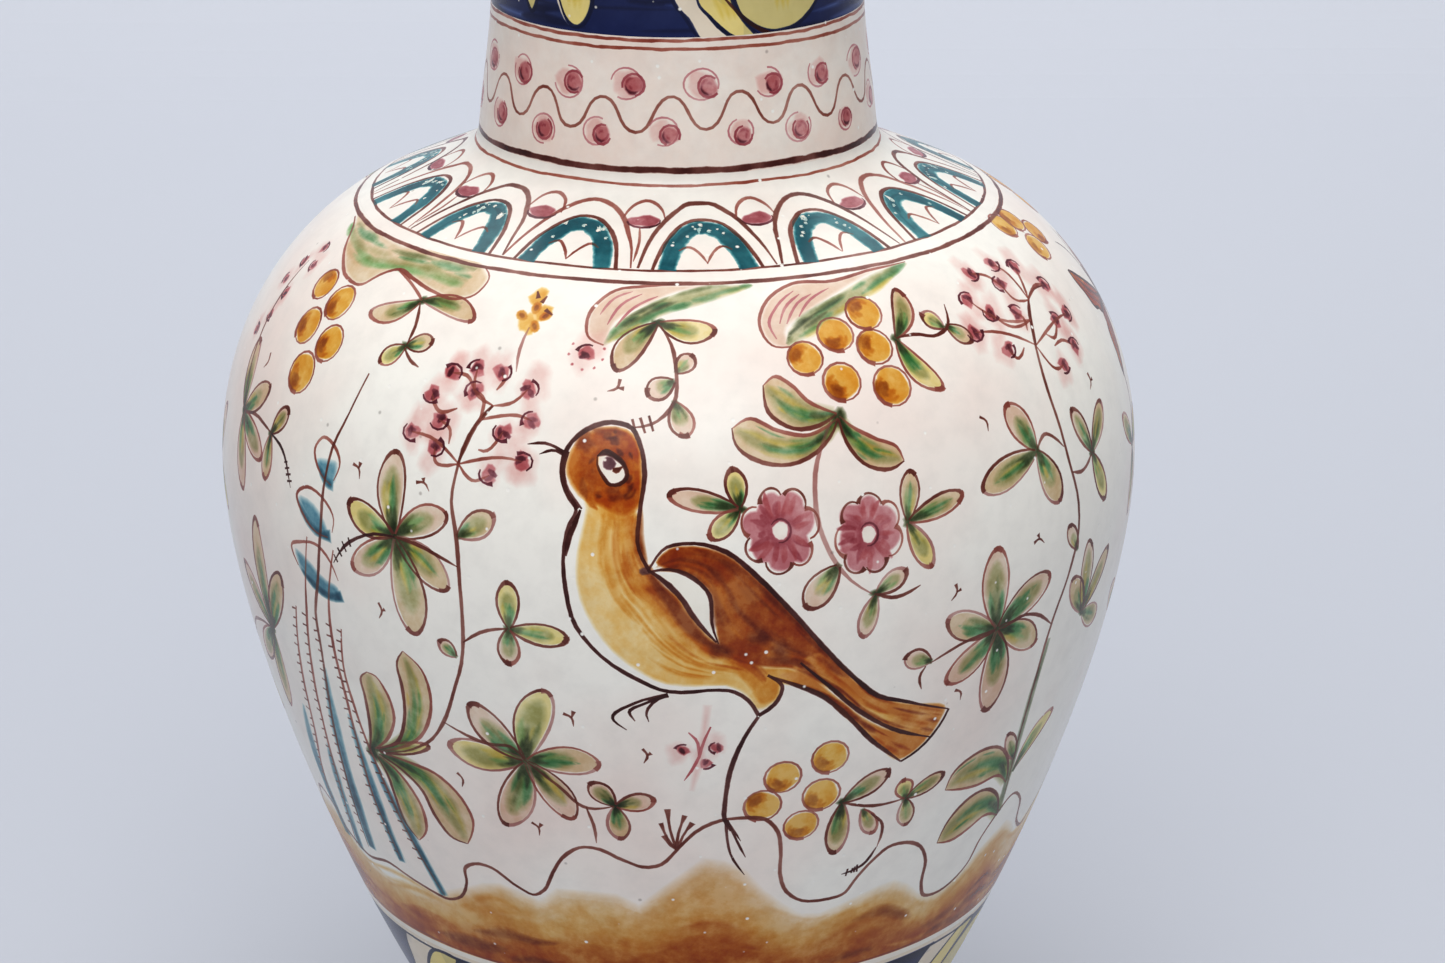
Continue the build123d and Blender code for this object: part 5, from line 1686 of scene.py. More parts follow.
@dataclass
class BandPainter(Painter):
    """Paints the bands of the shoulder, the neck, the mouth and the foot."""

    def ring(self, place: Place, radius: float, width: float, ink: Ink, start: float = 0.0,
             sweep: float = 6.1, touch: Touch = Touch.EVEN, squash: float = 1.0) -> None:
        """Draws a hand-drawn ring or part of one.

        Args:
            place: its middle.
            radius: its radius in millimetres.
            width: the line's width.
            ink: its colour.
            start: the angle at which it starts, in radians.
            sweep: how far it runs round.
            touch: how the width changes along it.
            squash: how much wider than tall it is.
        """
        sheet = self.sheet
        turn = np.linspace(start, start + sweep, max(8, int(radius * sweep / 1.1)))
        sheet.stroke(sheet.around(sheet.on_wall([place]), turn, radius * squash, radius), width, ink, touch)

    def dot(self, place: Place, size: float = 1.0) -> None:
        """Paints a mauve dot with the thin watery rings that ran out of it."""
        sheet = self.sheet
        wide = shifted(place, HAND.uniform(-1.9, -0.3), HAND.uniform(-0.2, 1.2))
        sheet.blob(wide, 3.9 * size, 3.5 * size, MAUVE_WASH.thinned(1.3), 0.9, ragged=0.14)
        self.ring(wide, 3.7 * size, 0.5, MAUVE_PETAL.thinned(0.9), HAND.uniform(0, 6), HAND.uniform(4.2, 6.0),
                  squash=HAND.uniform(0.9, 1.15))
        sheet.blob(place, 2.6 * size, 2.8 * size, MAUVE.thinned(0.8), 0.7, ragged=0.12)
        centre = sheet.on_wall([place])
        for reach in (0.9, 1.7):
            turn = HAND.uniform(0, 6) + np.linspace(0, HAND.uniform(1.6, 2.6), 5)
            arc = sheet.around(centre, turn, reach * size, reach * size)
            sheet.press(arc, 1.3, MAUVE_DEEP, 0.55, (0.5, 1.0, 0.4))
        turn = HAND.uniform(3.6, 4.6) + np.linspace(-1.2, 1.2, 5)
        arc = sheet.around(centre, turn, 1.9 * size, 1.9 * size)
        sheet.press(arc, 1.3, MAUVE_DARK, 0.5, (0.3, 1.0, 0.3))
        self.ring(place, 2.6 * size, 0.6, MAUVE_DEEP, HAND.uniform(0, 6), 4.8)

    def wave_and_dots(self, first: float, waves: int = 18) -> None:
        """Paints the neck's wavy line, with a dot under each crest and over each trough.

        The line's height is its middle plus 4.3 mm times the cosine of the angle times the
        number of waves, drawn a little fuller at its crests.
        """
        sheet = self.sheet
        count = waves * 15 + 1
        turn = np.linspace(-math.pi, math.pi, count)
        phase = waves * (turn - math.radians(first))
        lean = -0.16 * np.sin(2 * phase) / waves
        wander = 0.5 * np.sin(2 * turn + 0.4) + 0.4 * np.sin(5 * turn)
        rise = 140.4 + 4.3 * np.cos(phase) + wander
        middle = np.stack([(turn - lean) * sheet.reach, rise], 1)
        middle[[0, -1], 0] = np.array([-1, 1]) * math.pi * sheet.reach
        middle[-1, 1] = middle[0, 1]
        sheet.stroke(middle, 0.75, Ink(linear("7c3f37"), 0.85), closed=True)
        for wave in range(waves):
            low = first + 360 / waves * wave + HAND.uniform(-1.2, 1.2)
            self.dot((low, 134.6 + HAND.uniform(-0.8, 0.8)), HAND.uniform(0.85, 1.05))
            high = first + 360 / waves * (wave + 0.5) + HAND.uniform(-1.2, 1.2)
            self.dot((high, 147.2 + HAND.uniform(-1.0, 1.0)), HAND.uniform(0.9, 1.1))

    def arcade(self, first: float, arches: int = 14) -> None:
        """Paints the shoulder's arches: a thin outer arch over a teal one, and small scallops."""
        sheet = self.sheet
        for arch in range(arches):
            at = first + 360 / arches * arch + HAND.uniform(-0.6, 0.6)

            def arc(half: float, low: float, high: float) -> list[Place]:
                """Places along an arch of a half width in degrees between two heights along the wall."""
                return [(at + half * float(np.sign(s) * abs(s) ** 0.9),
                         low + (high - low) * float((1 - abs(s) ** 2.1) ** 0.62)) for s in np.linspace(-1, 1, 9)]

            sheet.line(arc(12.4, 92.6, 117.6), 1.25, MANGANESE if arch % 3 else MANGANESE_WARM, Touch.TAPER, 1.8)
            sheet.line(arc(7.2, 92.0, 108.2), 4.4, TEAL, steady=1.6)
            for _ in range(9):
                spot = arc(7.3 + HAND.uniform(-1, 1), 92.4, 108.4)
                first_spot = int(HAND.integers(0, 6))
                sheet.blade(spot[first_spot:first_spot + 3], HAND.uniform(1.0, 2.0), TEAL_DARK.thinned(0.7), 0.5)
            for _ in range(int(HAND.integers(5, 22))):
                spot = arc(7.2 + HAND.uniform(-1.2, 1.2), 92.4, 108.6)[int(HAND.integers(1, 8))]
                size = HAND.uniform(0.35, 0.7)
                spot = (spot[0] + HAND.uniform(-0.8, 0.8), spot[1] + HAND.uniform(-1.4, 1.4))
                self.ring(spot, size * 0.3, size, WHITE, 0.0, 5.8)
            sheet.line(arc(9.7, 92.2, 111.4), 1.05, MANGANESE, steady=1.4)
            for side in (-1, 1):
                sheet.line([(at + side * 5.2, 99.4), (at + side * 3.2, 100.8), (at + side * 1.5, 98.6), (at, 94.2)],
                           0.8, MANGANESE_WARM, Touch.TAPER)
            between = at + 180 / arches
            sheet.line([(between - 4.8, 111.4), (between - 3.8, 115.6), (between - 1, 118.2), (between + 1.5, 118.0),
                        (between + 4, 115.2), (between + 4.8, 111.4)], 0.95, MANGANESE_WARM, Touch.TAPER)
            sheet.blob((between, 110.8), 4.2, 2.5, MAUVE_DEEP, 0.6, ragged=0.12)
            sheet.blob((between - 0.6, 111.4), 1.4, 0.7, MAUVE_PETAL, 0.4)
            self.ring((between, 110.8), 2.6, 0.85, MAUVE_DARK, 3.3, 3.2, Touch.TAPER, 1.6)
            if arch % 3 == 0:
                sheet.line([(between - 0.6, 108), (between, 102), (between - 0.4, 95)], 0.7, MANGANESE_WARM,
                           Touch.TAPER)

    def lobe(self, edge: list[Place], margin: float = 0.0) -> None:
        """Paints a yellow lobe in the cobalt: a pale margin, its colour, brushed shade and outline.

        Args:
            edge: the lobe's edge.
            margin: how far the pale margin stands out on its left, in millimetres.
        """
        sheet = self.sheet
        if margin:
            sheet.area([shifted(place, -margin, -0.2 * margin) for place in edge], SCROLL_PALE, 0.3)
        sheet.area(edge, SCROLL_YELLOW, 0.35)
        low, high = min(edge, key=lambda p: p[1]), max(edge, key=lambda p: p[1])
        centre = (sum(p[0] for p in edge) / len(edge), sum(p[1] for p in edge) / len(edge))
        for shift in (-1.6, 0.4, 2.2):
            sheet.blade([((low[0] + centre[0]) / 2 + shift, (low[1] + centre[1]) / 2), (centre[0] + shift, centre[1]),
                         ((high[0] + centre[0]) / 2 + shift, (high[1] + centre[1]) / 2)], 2.2,
                        SCROLL_DEEP.thinned(HAND.uniform(0.5, 1)), 0.8)
        sheet.line(edge + edge[:1], 1.1, COBALT_DARK, Touch.TAPER)

    def streaks(self, low: float, high: float, count: int) -> None:
        """Lays the level strokes of a full cobalt brush, darker and paler than the ground."""
        low, high = min(low, high), max(low, high)
        for _ in range(count):
            along, start = HAND.uniform(low + 1.5, high - 1.5), HAND.uniform(-180, 180)
            sweep = HAND.uniform(12, 40)
            path = [(start, along), (start + sweep / 2, along + HAND.uniform(-0.8, 0.8)),
                    (start + sweep, along + HAND.uniform(-1, 1))]
            ink = COBALT_PALE.thinned(HAND.uniform(0.4, 1)) if HAND.uniform() < 0.5 else COBALT_DARK.thinned(0.8)
            self.sheet.blade(path, HAND.uniform(1.4, 3.4), ink, 0.9, (0.3, 1.0, 0.3))

    def spray(self, placed: Callable[[tuple[Place, ...]], list[Place]],
              leaves: tuple[tuple[Place, Place, float, float], ...]) -> None:
        """Paints curled leaves in turn yellow and pale, each a base, a tip, a breadth and a bow.

        Args:
            placed: puts the points of an edge, given in shares of the motif, on the band.
            leaves: the leaves.
        """
        for index, (base, tip, breadth, bow) in enumerate(leaves):
            inks = ((SCROLL_YELLOW, SCROLL_DEEP), (SCROLL_PALE, SCROLL_YELLOW.thinned(0.5)))[index % 2]
            self.curled(*placed((base, tip)), breadth, bow, (*inks, COBALT_DARK))

    def scrolls(self, low: float, high: float, starts: tuple[float, ...], wide: float,
                uprights: tuple[float, ...] = ()) -> None:
        """Paints the scroll of yellow leaves on a cobalt band.

        Each lobe's edge is given as shares of the motif's width and of the band's height, from
        the band's edge that the tips touch.

        Args:
            low: height along the wall of the edge that the tips touch, in millimetres.
            high: height of the other edge.
            starts: the angle at which each motif starts, in degrees.
            wide: width of a motif in degrees.
            uprights: angles of the pairs of upright leaves between the motifs, in degrees.
        """
        self.streaks(low, high, 190)
        tall = high - low
        size = math.sqrt(abs(tall) / 39.0) * math.copysign(1.0, tall)
        for at in starts:

            def placed(edge: tuple[Place, ...]) -> list[Place]:
                """Places on the band of points given in shares of the motif."""
                return [(at + wide * x, low + tall * y) for x, y in edge]

            self.lobe(placed(((-0.006, 0.26), (0.006, 0.17), (0.022, 0.12), (0.042, 0.19), (0.050, 0.34), (0.026, 0.45),
                              (0.000, 0.38))))
            self.lobe(placed(((0.116, 0.26), (0.132, 0.14), (0.160, 0.07), (0.196, 0.11), (0.218, 0.24), (0.210, 0.40),
                              (0.160, 0.50), (0.124, 0.42))), 0.8)
            self.sheet.area(placed(((0.405, 0.42), (0.425, 0.26), (0.458, 0.15), (0.482, 0.05), (0.50, 0.005),
                                    (0.60, 0.01), (0.60, 0.10), (0.53, 0.28), (0.48, 0.48), (0.44, 0.52))),
                            SCROLL_PALE, 0.3)
            self.sheet.line(placed(((0.405, 0.42), (0.425, 0.26), (0.458, 0.15), (0.482, 0.05), (0.50, 0.0))), 1.1,
                            COBALT_DARK, Touch.TAPER)
            self.lobe(placed(((0.475, 0.36), (0.483, 0.26), (0.510, 0.17), (0.545, 0.08), (0.585, 0.012),
                              (0.640, 0.016), (0.605, 0.107), (0.580, 0.20), (0.565, 0.30), (0.545, 0.44),
                              (0.500, 0.50))))
            self.lobe(placed(((0.570, 0.30), (0.590, 0.18), (0.625, 0.10), (0.667, 0.05), (0.717, 0.045),
                              (0.767, 0.085), (0.808, 0.165), (0.833, 0.28), (0.830, 0.46), (0.76, 0.58),
                              (0.66, 0.54), (0.59, 0.42))))
            stem = placed(tuple((x / 20, 0.66 + 0.05 * math.sin(x * math.pi / 5)) for x in range(20)))
            self.sheet.line(stem, 1.5 * abs(size), SCROLL_PALE, Touch.TAPER)
            self.spray(placed, (
                ((0.03, 0.68), (0.15, 0.92), 4.0 * size, 0.14), ((0.18, 0.68), (0.31, 0.94), 3.6 * size, 0.14),
                ((0.34, 0.60), (0.44, 0.88), 3.6 * size, 0.14), ((0.50, 0.66), (0.60, 0.93), 3.6 * size, 0.14),
                ((0.64, 0.70), (0.77, 0.95), 4.2 * size, 0.14), ((0.80, 0.66), (0.90, 0.90), 3.4 * size, 0.14),
                ((0.20, 0.68), (0.32, 0.38), -3.0 * size, -0.12), ((0.84, 0.64), (0.93, 0.40), -3.2 * size, -0.12)))
            self.sheet.line(placed(((0.55, 0.28), (0.60, 0.146), (0.667, 0.035), (0.70, 0.02))), 1.0, MANGANESE_DARK,
                            Touch.TAPER)
        for turn in uprights:
            for side in (-1, 1):
                self.curled((turn, low + 0.92 * tall), (turn + 5 * side, low + 0.18 * tall), 5.0 * side, 0.12 * side,
                            (SCROLL_YELLOW, SCROLL_DEEP, COBALT_DARK))


# ------------------------------------------------------------------ finishes


def color_of(values: Color) -> tuple[float, float, float, float]:
    """A colour with full alpha."""
    return (*values, 1.0)


class Nodes:
    """Adds nodes to the tree of a material or of a group."""

    def __init__(self, tree: bpy.types.NodeTree) -> None:
        """Takes the tree."""
        self.tree = tree

    @classmethod
    def group(cls, name: str, inputs: dict[str, object], outputs: dict[str, str]) -> "Nodes":
        """Starts an empty node group with named sockets.

        Args:
            name: the group's name.
            inputs: each input's default value.
            outputs: each output's kind, Float or Color.
        """
        tree = bpy.data.node_groups.new(name, "ShaderNodeTree")
        for key, value in inputs.items():
            kind = "NodeSocketFloat" if isinstance(value, float) else "NodeSocketColor"
            tree.interface.new_socket(key, in_out="INPUT", socket_type=kind).default_value = value
        for key, kind in outputs.items():
            tree.interface.new_socket(key, in_out="OUTPUT", socket_type="NodeSocket" + kind)
        return cls(tree)

    @classmethod
    def material(cls, name: str) -> tuple["Nodes", bpy.types.Material]:
        """Starts a material with an empty tree."""
        material = bpy.data.materials.new(name)
        material.use_nodes = True
        material.node_tree.nodes.clear()
        return cls(material.node_tree), material

    @cached_property
    def place(self) -> Socket:
        """Where a point of the object lies."""
        return self.add("ShaderNodeTexCoord").outputs["Object"]

    def add(self, kind: str, inputs: dict[int | str, object] | None = None, **settings: object) -> bpy.types.Node:
        """Adds a node.

        Args:
            kind: the node's type.
            inputs: for each input its value, or the socket that feeds it.
            settings: the node's own settings.
        """
        node = self.tree.nodes.new(kind)
        for key, value in settings.items():
            setattr(node, key, value)
        for key, value in (inputs or {}).items():
            if isinstance(value, Socket):
                self.tree.links.new(value, node.inputs[key])
            else:
                node.inputs[key].default_value = value
        return node

    def math(self, operation: str, *inputs: float | Socket) -> Socket:
        """The result of a sum, a product or another operation."""
        return self.add("ShaderNodeMath", dict(enumerate(inputs)), operation=operation).outputs[0]

    def vector(self, operation: str, first: Socket, second: Socket) -> Socket:
        """The result of an operation on two vectors, or on a vector and its scale."""
        other = 3 if operation == "SCALE" else 1
        return self.add("ShaderNodeVectorMath", {0: first, other: second}, operation=operation).outputs[0]

    def ramp(self, value: Socket, low: float, high: float, start: float = 0.0, end: float = 1.0) -> Socket:
        """The even way from start to end while a value goes from low to high, level outside."""
        return self.add("ShaderNodeMapRange", {"Value": value, "From Min": low, "From Max": high,
                                               "To Min": start, "To Max": end}).outputs[0]

    def mix(self, share: Socket, first: object, second: object) -> Socket:
        """The colour at a share of the way from a first to a second one."""
        return self.add("ShaderNodeMix", {0: share, 6: first, 7: second}, data_type="RGBA").outputs[2]

    def noise(self, scale: float, detail: float, roughness: float = 0.5) -> Socket:
        """A cloudy value from 0 to 1 that repeats about so many times to the metre."""
        return self.add("ShaderNodeTexNoise", {"Vector": self.place, "Scale": scale, "Detail": detail,
                                               "Roughness": roughness}).outputs[0]

    def dots(self, scale: float, core: float, edge: float, bare: float) -> Socket:
        """Scattered round dots.

        Args:
            scale: how many cells there are to the metre.
            core: the distance from the cell's middle, in cells, where a dot starts to fade.
            edge: the distance where it ends.
            bare: the share of the cells that have no dot.
        """
        cells = self.add("ShaderNodeTexVoronoi", {"Vector": self.place, "Scale": scale}, feature="F1")
        mask = self.ramp(cells.outputs["Distance"], core, edge, 1.0, 0.0)
        return self.math("MULTIPLY", mask, self.math("GREATER_THAN", cells.outputs["Color"], bare))


def tin_glaze_group() -> bpy.types.NodeTree:
    """The fired tin glaze: cloudy white with rose clouds, fine specks, pinholes and ripples."""
    nodes = Nodes.group("tin_glaze", {"Glaze": color_of(GLAZE), "Rose": 0.35, "Specks": 0.5},
                        {"Color": "Color", "Height": "Float", "Pinholes": "Float"})
    given = nodes.add("NodeGroupInput").outputs
    clouds = nodes.ramp(nodes.noise(13.0, 3.0, 0.55), 0.44, 0.70)
    color = nodes.mix(nodes.math("MULTIPLY", clouds, given["Rose"]), given["Glaze"], color_of(ROSE_CLOUD))
    fine = nodes.ramp(nodes.noise(160.0, 4.0, 0.6), 0.42, 0.75, 0.0, 0.16)
    color = nodes.mix(fine, color, color_of(GREY_CLOUD))
    specks = nodes.math("MULTIPLY", nodes.dots(210.0, 0.05, 0.13, 0.86), given["Specks"])
    color = nodes.mix(specks, color, color_of(SPECK))
    pinholes = nodes.dots(230.0, 0.07, 0.13, 0.66)
    height = nodes.math("MULTIPLY_ADD", pinholes, -0.35, nodes.noise(28.0, 2.0))
    nodes.add("NodeGroupOutput", {"Color": color, "Height": height, "Pinholes": pinholes})
    return nodes.tree


def brushed_group() -> bpy.types.NodeTree:
    """Colour painted on the glaze: washes that vary with the water, then lines with worn edges.

    Wash and Line hold depths times their cover.  A line hides its cover of the wash under it, and
    the glaze shows through both as its colour times the exponential of minus the depth.
    """
    nodes = Nodes.group(
        "brushed_colour",
        {"Glaze": color_of(GLAZE), "Wash": color_of((0, 0, 0)), "Line": color_of((0, 0, 0)),
         "Line Cover": 0.0, "Edge": 0.0, "Pinholes": 0.0, "Water": 0.35}, {"Color": "Color"})
    given = nodes.add("NodeGroupInput").outputs
    flow = nodes.math("ADD", nodes.noise(230.0, 4.0, 0.65), nodes.noise(62.0, 2.0))
    thin = nodes.ramp(flow, 0.78, 1.22, 1.0, -0.4)
    dense = nodes.math("SUBTRACT", 1.0, nodes.math("MULTIPLY", thin, given["Water"]))
    wash = nodes.vector("SCALE", given["Wash"], dense)
    worn = nodes.math("MULTIPLY_ADD", nodes.noise(620.0, 2.0), 0.34, -0.17)
    rough_edge = nodes.math("ADD", nodes.math("ABSOLUTE", given["Edge"]), worn)
    edge = nodes.ramp(rough_edge, 0.66, 1.0, 1.0, 0.0)
    share = nodes.math("MULTIPLY", edge, nodes.math("MULTIPLY_ADD", thin, -0.25, 1.04))
    seen = nodes.math("SUBTRACT", 1.0, nodes.math("MULTIPLY", share, given["Line Cover"]))
    under = nodes.vector("SCALE", wash, seen)
    depth = nodes.vector("ADD", under, nodes.vector("SCALE", given["Line"], share))
    parts = nodes.add("ShaderNodeSeparateXYZ", {0: depth}).outputs
    light = nodes.add("ShaderNodeCombineXYZ")
    for part, passed in zip(parts, light.inputs):
        nodes.tree.links.new(nodes.math("EXPONENT", nodes.math("MULTIPLY", part, -1.0)), passed)
    shown = nodes.vector("MULTIPLY", given["Glaze"], light.outputs[0])
    nodes.add("NodeGroupOutput", {"Color": nodes.mix(given["Pinholes"], shown, color_of(PINHOLE))})
    return nodes.tree


@dataclass(frozen=True)
class GlazedFinish:
    """Tin glaze in a satin gloss, with or without painting on it."""

    name: str
    painted: bool = True
    roughness: float = 0.24
    rose: float = 0.5
    water: float = 0.42
    bump: float = 0.00012

    def make(self, glaze: bpy.types.NodeTree, brushed: bpy.types.NodeTree) -> bpy.types.Material:
        """Builds the material from the shared groups."""
        nodes, material = Nodes.material(self.name)
        coat = nodes.add("ShaderNodeGroup", node_tree=glaze)
        coat.inputs["Rose"].default_value = self.rose
        color = coat.outputs["Color"]
        if self.painted:
            wash, line, edge = (nodes.add("ShaderNodeAttribute", attribute_name=name).outputs
                                for name in ("wash", "line", "edge"))
            paint = nodes.add("ShaderNodeGroup", node_tree=brushed)
            for key, value in (("Glaze", color), ("Wash", wash["Color"]), ("Line", line["Color"]),
                               ("Line Cover", line["Alpha"]), ("Edge", edge["Fac"]),
                               ("Pinholes", coat.outputs["Pinholes"])):
                nodes.tree.links.new(value, paint.inputs[key])
            paint.inputs["Water"].default_value = self.water
            color = paint.outputs["Color"]
        bump = nodes.add("ShaderNodeBump", {"Height": coat.outputs["Height"], "Strength": 1.0,
                                            "Distance": self.bump})
        shader = nodes.add("ShaderNodeBsdfPrincipled", {"Base Color": color, "Normal": bump.outputs[0]})
        shader.inputs["Roughness"].default_value = self.roughness
        shader.inputs["IOR"].default_value = 1.5
        shader.inputs["Specular IOR Level"].default_value = 0.2
        nodes.add("ShaderNodeOutputMaterial", {"Surface": shader.outputs[0]})
        return material


@dataclass(frozen=True)
class ClayFinish:
    """Fired earthenware or slip: matt, sandy and a little uneven."""

    name: str
    color: Color
    dark: Color

    def make(self) -> bpy.types.Material:
        """Builds the material."""
        nodes, material = Nodes.material(self.name)
        color = nodes.mix(nodes.noise(40.0, 5.0, 0.65), color_of(self.color), color_of(self.dark))
        bump = nodes.add("ShaderNodeBump", {"Height": nodes.noise(900.0, 3.0), "Strength": 0.6, "Distance": 0.0002})
        shader = nodes.add("ShaderNodeBsdfPrincipled", {"Base Color": color, "Normal": bump.outputs[0]})
        shader.inputs["Roughness"].default_value = 0.85
        nodes.add("ShaderNodeOutputMaterial", {"Surface": shader.outputs[0]})
        return material


# ------------------------------------------------------------------ the studio


@dataclass(frozen=True)
class Studio:
    """The floor that runs up into a backdrop, the lamps and the camera.

    The camera stands in front of its aim, this many degrees above it and this far from it.
    """

    floor_half: float = 3.0
    sweep_start: float = 1.2
    sweep_radius: float = 0.9
    wall_height: float = 2.6
    # Painted shade: the paper's colour near the front is darker, and far behind lighter, standing in for the light
    # falling off.
    floor_color: Color = linear("aeb2bc")
    wall_color: Color = linear("d2d6e0")
    key_power: float = 20.5
    top_power: float = 51.0
    lamp_aim: tuple[float, float, float] = (0.0, 0.0, 0.22)
    sky: float = 0.29
    lens: float = 99.6
    pitch: float = 19.17
    distance: float = 1.0655
    aim: tuple[float, float, float] = (0.0115, 0.0, 0.200)

    def build(self) -> None:
        """Sets the stage, the light and the camera."""
        self._backdrop()
        self._lamp("key", (-0.08, -1.25, 1.6), (1.2, 1.2), self.key_power)
        self._lamp("top", (0.0, 0.6, 2.4), (2.6, 2.6), self.top_power)
        world = bpy.data.worlds.new("studio")
        bpy.context.scene.world = world
        world.use_nodes = True
        sky = world.node_tree.nodes["Background"]
        sky.inputs["Color"].default_value = color_of(linear("f6f5f2"))
        sky.inputs["Strength"].default_value = self.sky
        self._camera()
        bpy.context.scene.view_settings.view_transform = "Standard"

    def _backdrop(self) -> None:
        """A sheet of the floor's width that bends up behind the vase in a quarter circle, its colour painted darker
        towards the front as painted shade.
        """
        bend = np.linspace(0, math.pi / 2, 33)
        profile = np.concatenate([
            [[-self.floor_half, 0.0]],
            np.stack([self.sweep_start + self.sweep_radius * np.sin(bend), self.sweep_radius * (1 - np.cos(bend))], 1),
            [[self.sweep_start + self.sweep_radius, self.wall_height]]])
        rows = [[(x, y, z) for y, z in profile] for x in (-self.floor_half, self.floor_half)]
        size = len(profile)
        mesh = bpy.data.meshes.new("studio_sweep")
        mesh.from_pydata(rows[0] + rows[1], [], [(i, size + i, size + i + 1, i + 1) for i in range(size - 1)])
        sweep = bpy.data.objects.new("studio_sweep", mesh)
        bpy.context.scene.collection.objects.link(sweep)
        material = bpy.data.materials.new("studio_paper")
        material.use_nodes = True
        shader = material.node_tree.nodes["Principled BSDF"]
        nodes = Nodes(material.node_tree)
        place = nodes.add("ShaderNodeSeparateXYZ", {0: nodes.place})
        # Painted shade on one sheet of paper: its colour grades from the darker front colour to the lighter one far
        # behind, in place of light falloff.
        far = nodes.ramp(place.outputs["Y"], -0.3, 1.5)
        paper = nodes.mix(far, color_of(self.floor_color), color_of(self.wall_color))
        nodes.tree.links.new(paper, shader.inputs["Base Color"])
        shader.inputs["Roughness"].default_value = 0.9
        shader.inputs["Specular IOR Level"].default_value = 0.1
        mesh.materials.append(material)

    def _lamp(self, name: str, place: tuple[float, float, float], size: tuple[float, float], power: float) -> None:
        """A soft lamp that faces the vase."""
        data = bpy.data.lights.new(name, "AREA")
        data.shape, data.size, data.size_y, data.energy = "RECTANGLE", *size, power
        lamp = bpy.data.objects.new(name, data)
        lamp.location = place
        lamp.rotation_euler = (Vector(self.lamp_aim) - Vector(place)).to_track_quat("-Z", "Y").to_euler()
        bpy.context.scene.collection.objects.link(lamp)

    def _camera(self) -> None:
        """A long lens in front of the vase and above it, aimed a little to its right."""
        data = bpy.data.cameras.new("camera")
        data.sensor_width, data.lens = 36.0, self.lens
        camera = bpy.data.objects.new("camera", data)
        pitch, aim = math.radians(self.pitch), Vector(self.aim)
        camera.location = Vector((0, -self.distance * math.cos(pitch), aim.z + self.distance * math.sin(pitch)))
        camera.rotation_euler = (aim - camera.location).to_track_quat("-Z", "Y").to_euler()
        bpy.context.scene.collection.objects.link(camera)
        bpy.context.scene.camera = camera


# ------------------------------------------------------------------ the vase


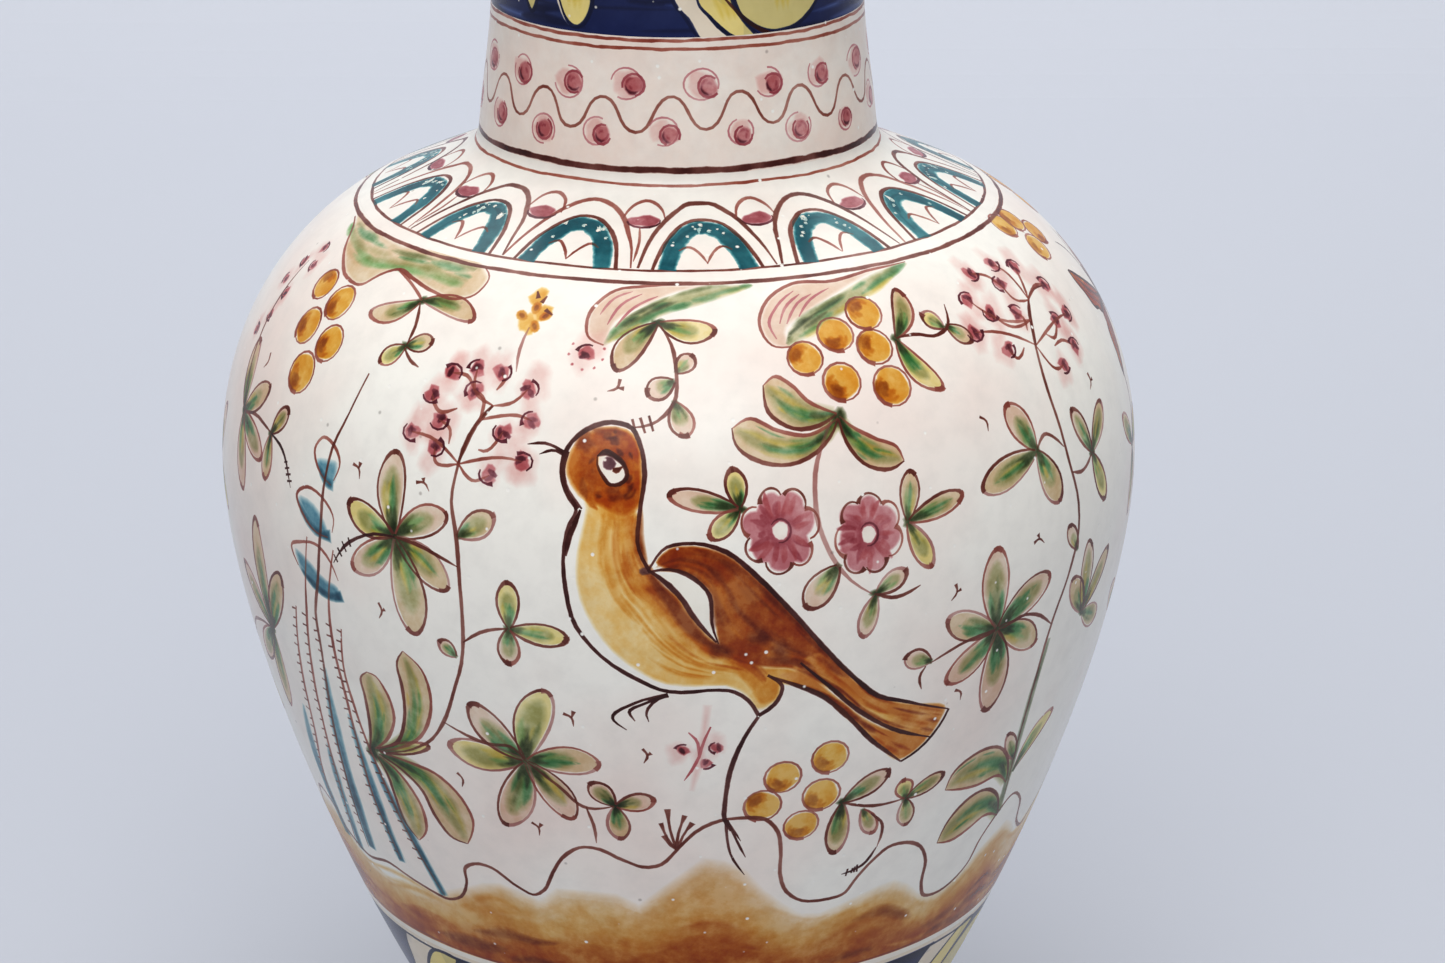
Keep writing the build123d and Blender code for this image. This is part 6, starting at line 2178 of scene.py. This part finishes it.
@dataclass(frozen=True)
class Vase:
    """The painted zones from the foot to the mouth, and the finishes of what shows between them.

    The sizes are the heights above the ground, in millimetres, at which the zones end.
    """

    foot: float = 4.0
    waist: float = 93.5
    shoulder: float = 280.0
    neck: float = 298.0
    mouth: float = 331.5
    rim: float = Outline.height
    cuts: tuple[float, ...] = (-58.0, -30.0, 4.0, 44.0)

    def build(self, glaze: bpy.types.NodeTree, brushed: bpy.types.NodeTree) -> None:
        """Makes every painted skin in place of the plain glaze of its zone."""
        painted = GlazedFinish("painted_glaze").make(glaze, brushed)
        cobalt = GlazedFinish("cobalt_glaze", water=0.06, rose=0.0).make(glaze, brushed)
        for make, finish in ((self.foot_band, cobalt), (self.frieze, painted), (self.shoulder_band, painted),
                             (self.neck_band, painted), (self.mouth_band, cobalt)):
            sheet = make()
            for piece in sheet.build():
                piece.data.materials.append(finish)
                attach(piece, "root")
                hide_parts(sheet.node)

    def dress(self, glaze: bpy.types.NodeTree, brushed: bpy.types.NodeTree) -> None:
        """Gives the clay, the slip at its joints and the plain lining their finishes."""
        lining = GlazedFinish("plain_glaze", painted=False).make(glaze, brushed)
        clay = ClayFinish("fired_clay", linear("c9825a"), linear("b06a45")).make()
        slip = ClayFinish("joint_slip", linear("bd7a55"), linear("a5623f")).make()
        for name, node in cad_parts.items():
            finish = lining if name == "glaze_lining" else slip if name.startswith("slip") else clay
            for place in node.material_slots:
                place.material = finish

    def foot_band(self) -> Sheet:
        """The cobalt band over the foot, with its white edge and the line at the edge."""
        sheet = Sheet("painted_foot_band", "glaze_foot_band", self.foot, self.waist)
        top = sheet.high
        sheet.ground = COBALT
        BandPainter(sheet).scrolls(top - 1.4, sheet.low + 8.0, (-106.0, -1.0, 126.5), 100.0, (113.0, -120.0))
        sheet.level_band(top - 1.8, top + 2.0, SCROLL_PALE, 0.4)
        sheet.round_line(top - 2.2, 0.9, COBALT_DARK)
        return sheet

    def frieze(self) -> Sheet:
        """The painted scene round the belly, drawn twice: at the front, and mirrored at the back."""
        sheet = Sheet("painted_frieze", "glaze_frieze", self.waist, self.shoulder, self.cuts)
        painter = GardenPainter(sheet)
        painter.ground()
        painter.scene(0.0, False)
        painter.scene(180.0, True)
        sheet.level_band(painter.base, painter.foot_line - 0.2, WHITE, 0.4)
        sheet.round_line(painter.foot_line + 0.1, 0.8, MANGANESE_WARM)
        sheet.round_line(87.5, 1.15, MANGANESE)
        return sheet

    def shoulder_band(self) -> Sheet:
        """The arcade round the shoulder."""
        sheet = Sheet("painted_shoulder_band", "glaze_shoulder_band", self.shoulder, self.neck)
        sheet.round_line(92.0, 0.8, MANGANESE)
        BandPainter(sheet).arcade(-20.2)
        sheet.round_line(122.8, 0.7, RING_BROWN)
        return sheet

    def neck_band(self) -> Sheet:
        """The neck's rose band with its wavy line and dots."""
        sheet = Sheet("painted_neck_band", "glaze_neck_band", self.neck, self.mouth)
        sheet.ground = NECK_ROSE
        sheet.round_line(126.5, 1.5, RING_DARK, 0.4)
        BandPainter(sheet).wave_and_dots(-2.0)
        sheet.round_line(156.3, 0.8, RING_BROWN)
        sheet.round_line(158.6, 0.8, RING_BROWN)
        return sheet

    def mouth_band(self) -> Sheet:
        """The cobalt band of the mouth with its scroll of yellow leaves."""
        sheet = Sheet("painted_mouth_band", "glaze_mouth_band", self.mouth, self.rim)
        sheet.ground = COBALT
        BandPainter(sheet).scrolls(sheet.low - 1.5, sheet.high - 6.0, (-52.0, 68.0, 188.0), 120.0)
        return sheet


def main() -> None:
    """Paints the skins, dresses the clay and sets the studio."""
    logging.basicConfig(level=logging.INFO, format="%(message)s")
    groups = tin_glaze_group(), brushed_group()
    vase = Vase()
    vase.build(*groups)
    vase.dress(*groups)
    Studio().build()
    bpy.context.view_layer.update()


if __name__ == "__main__":
    main()
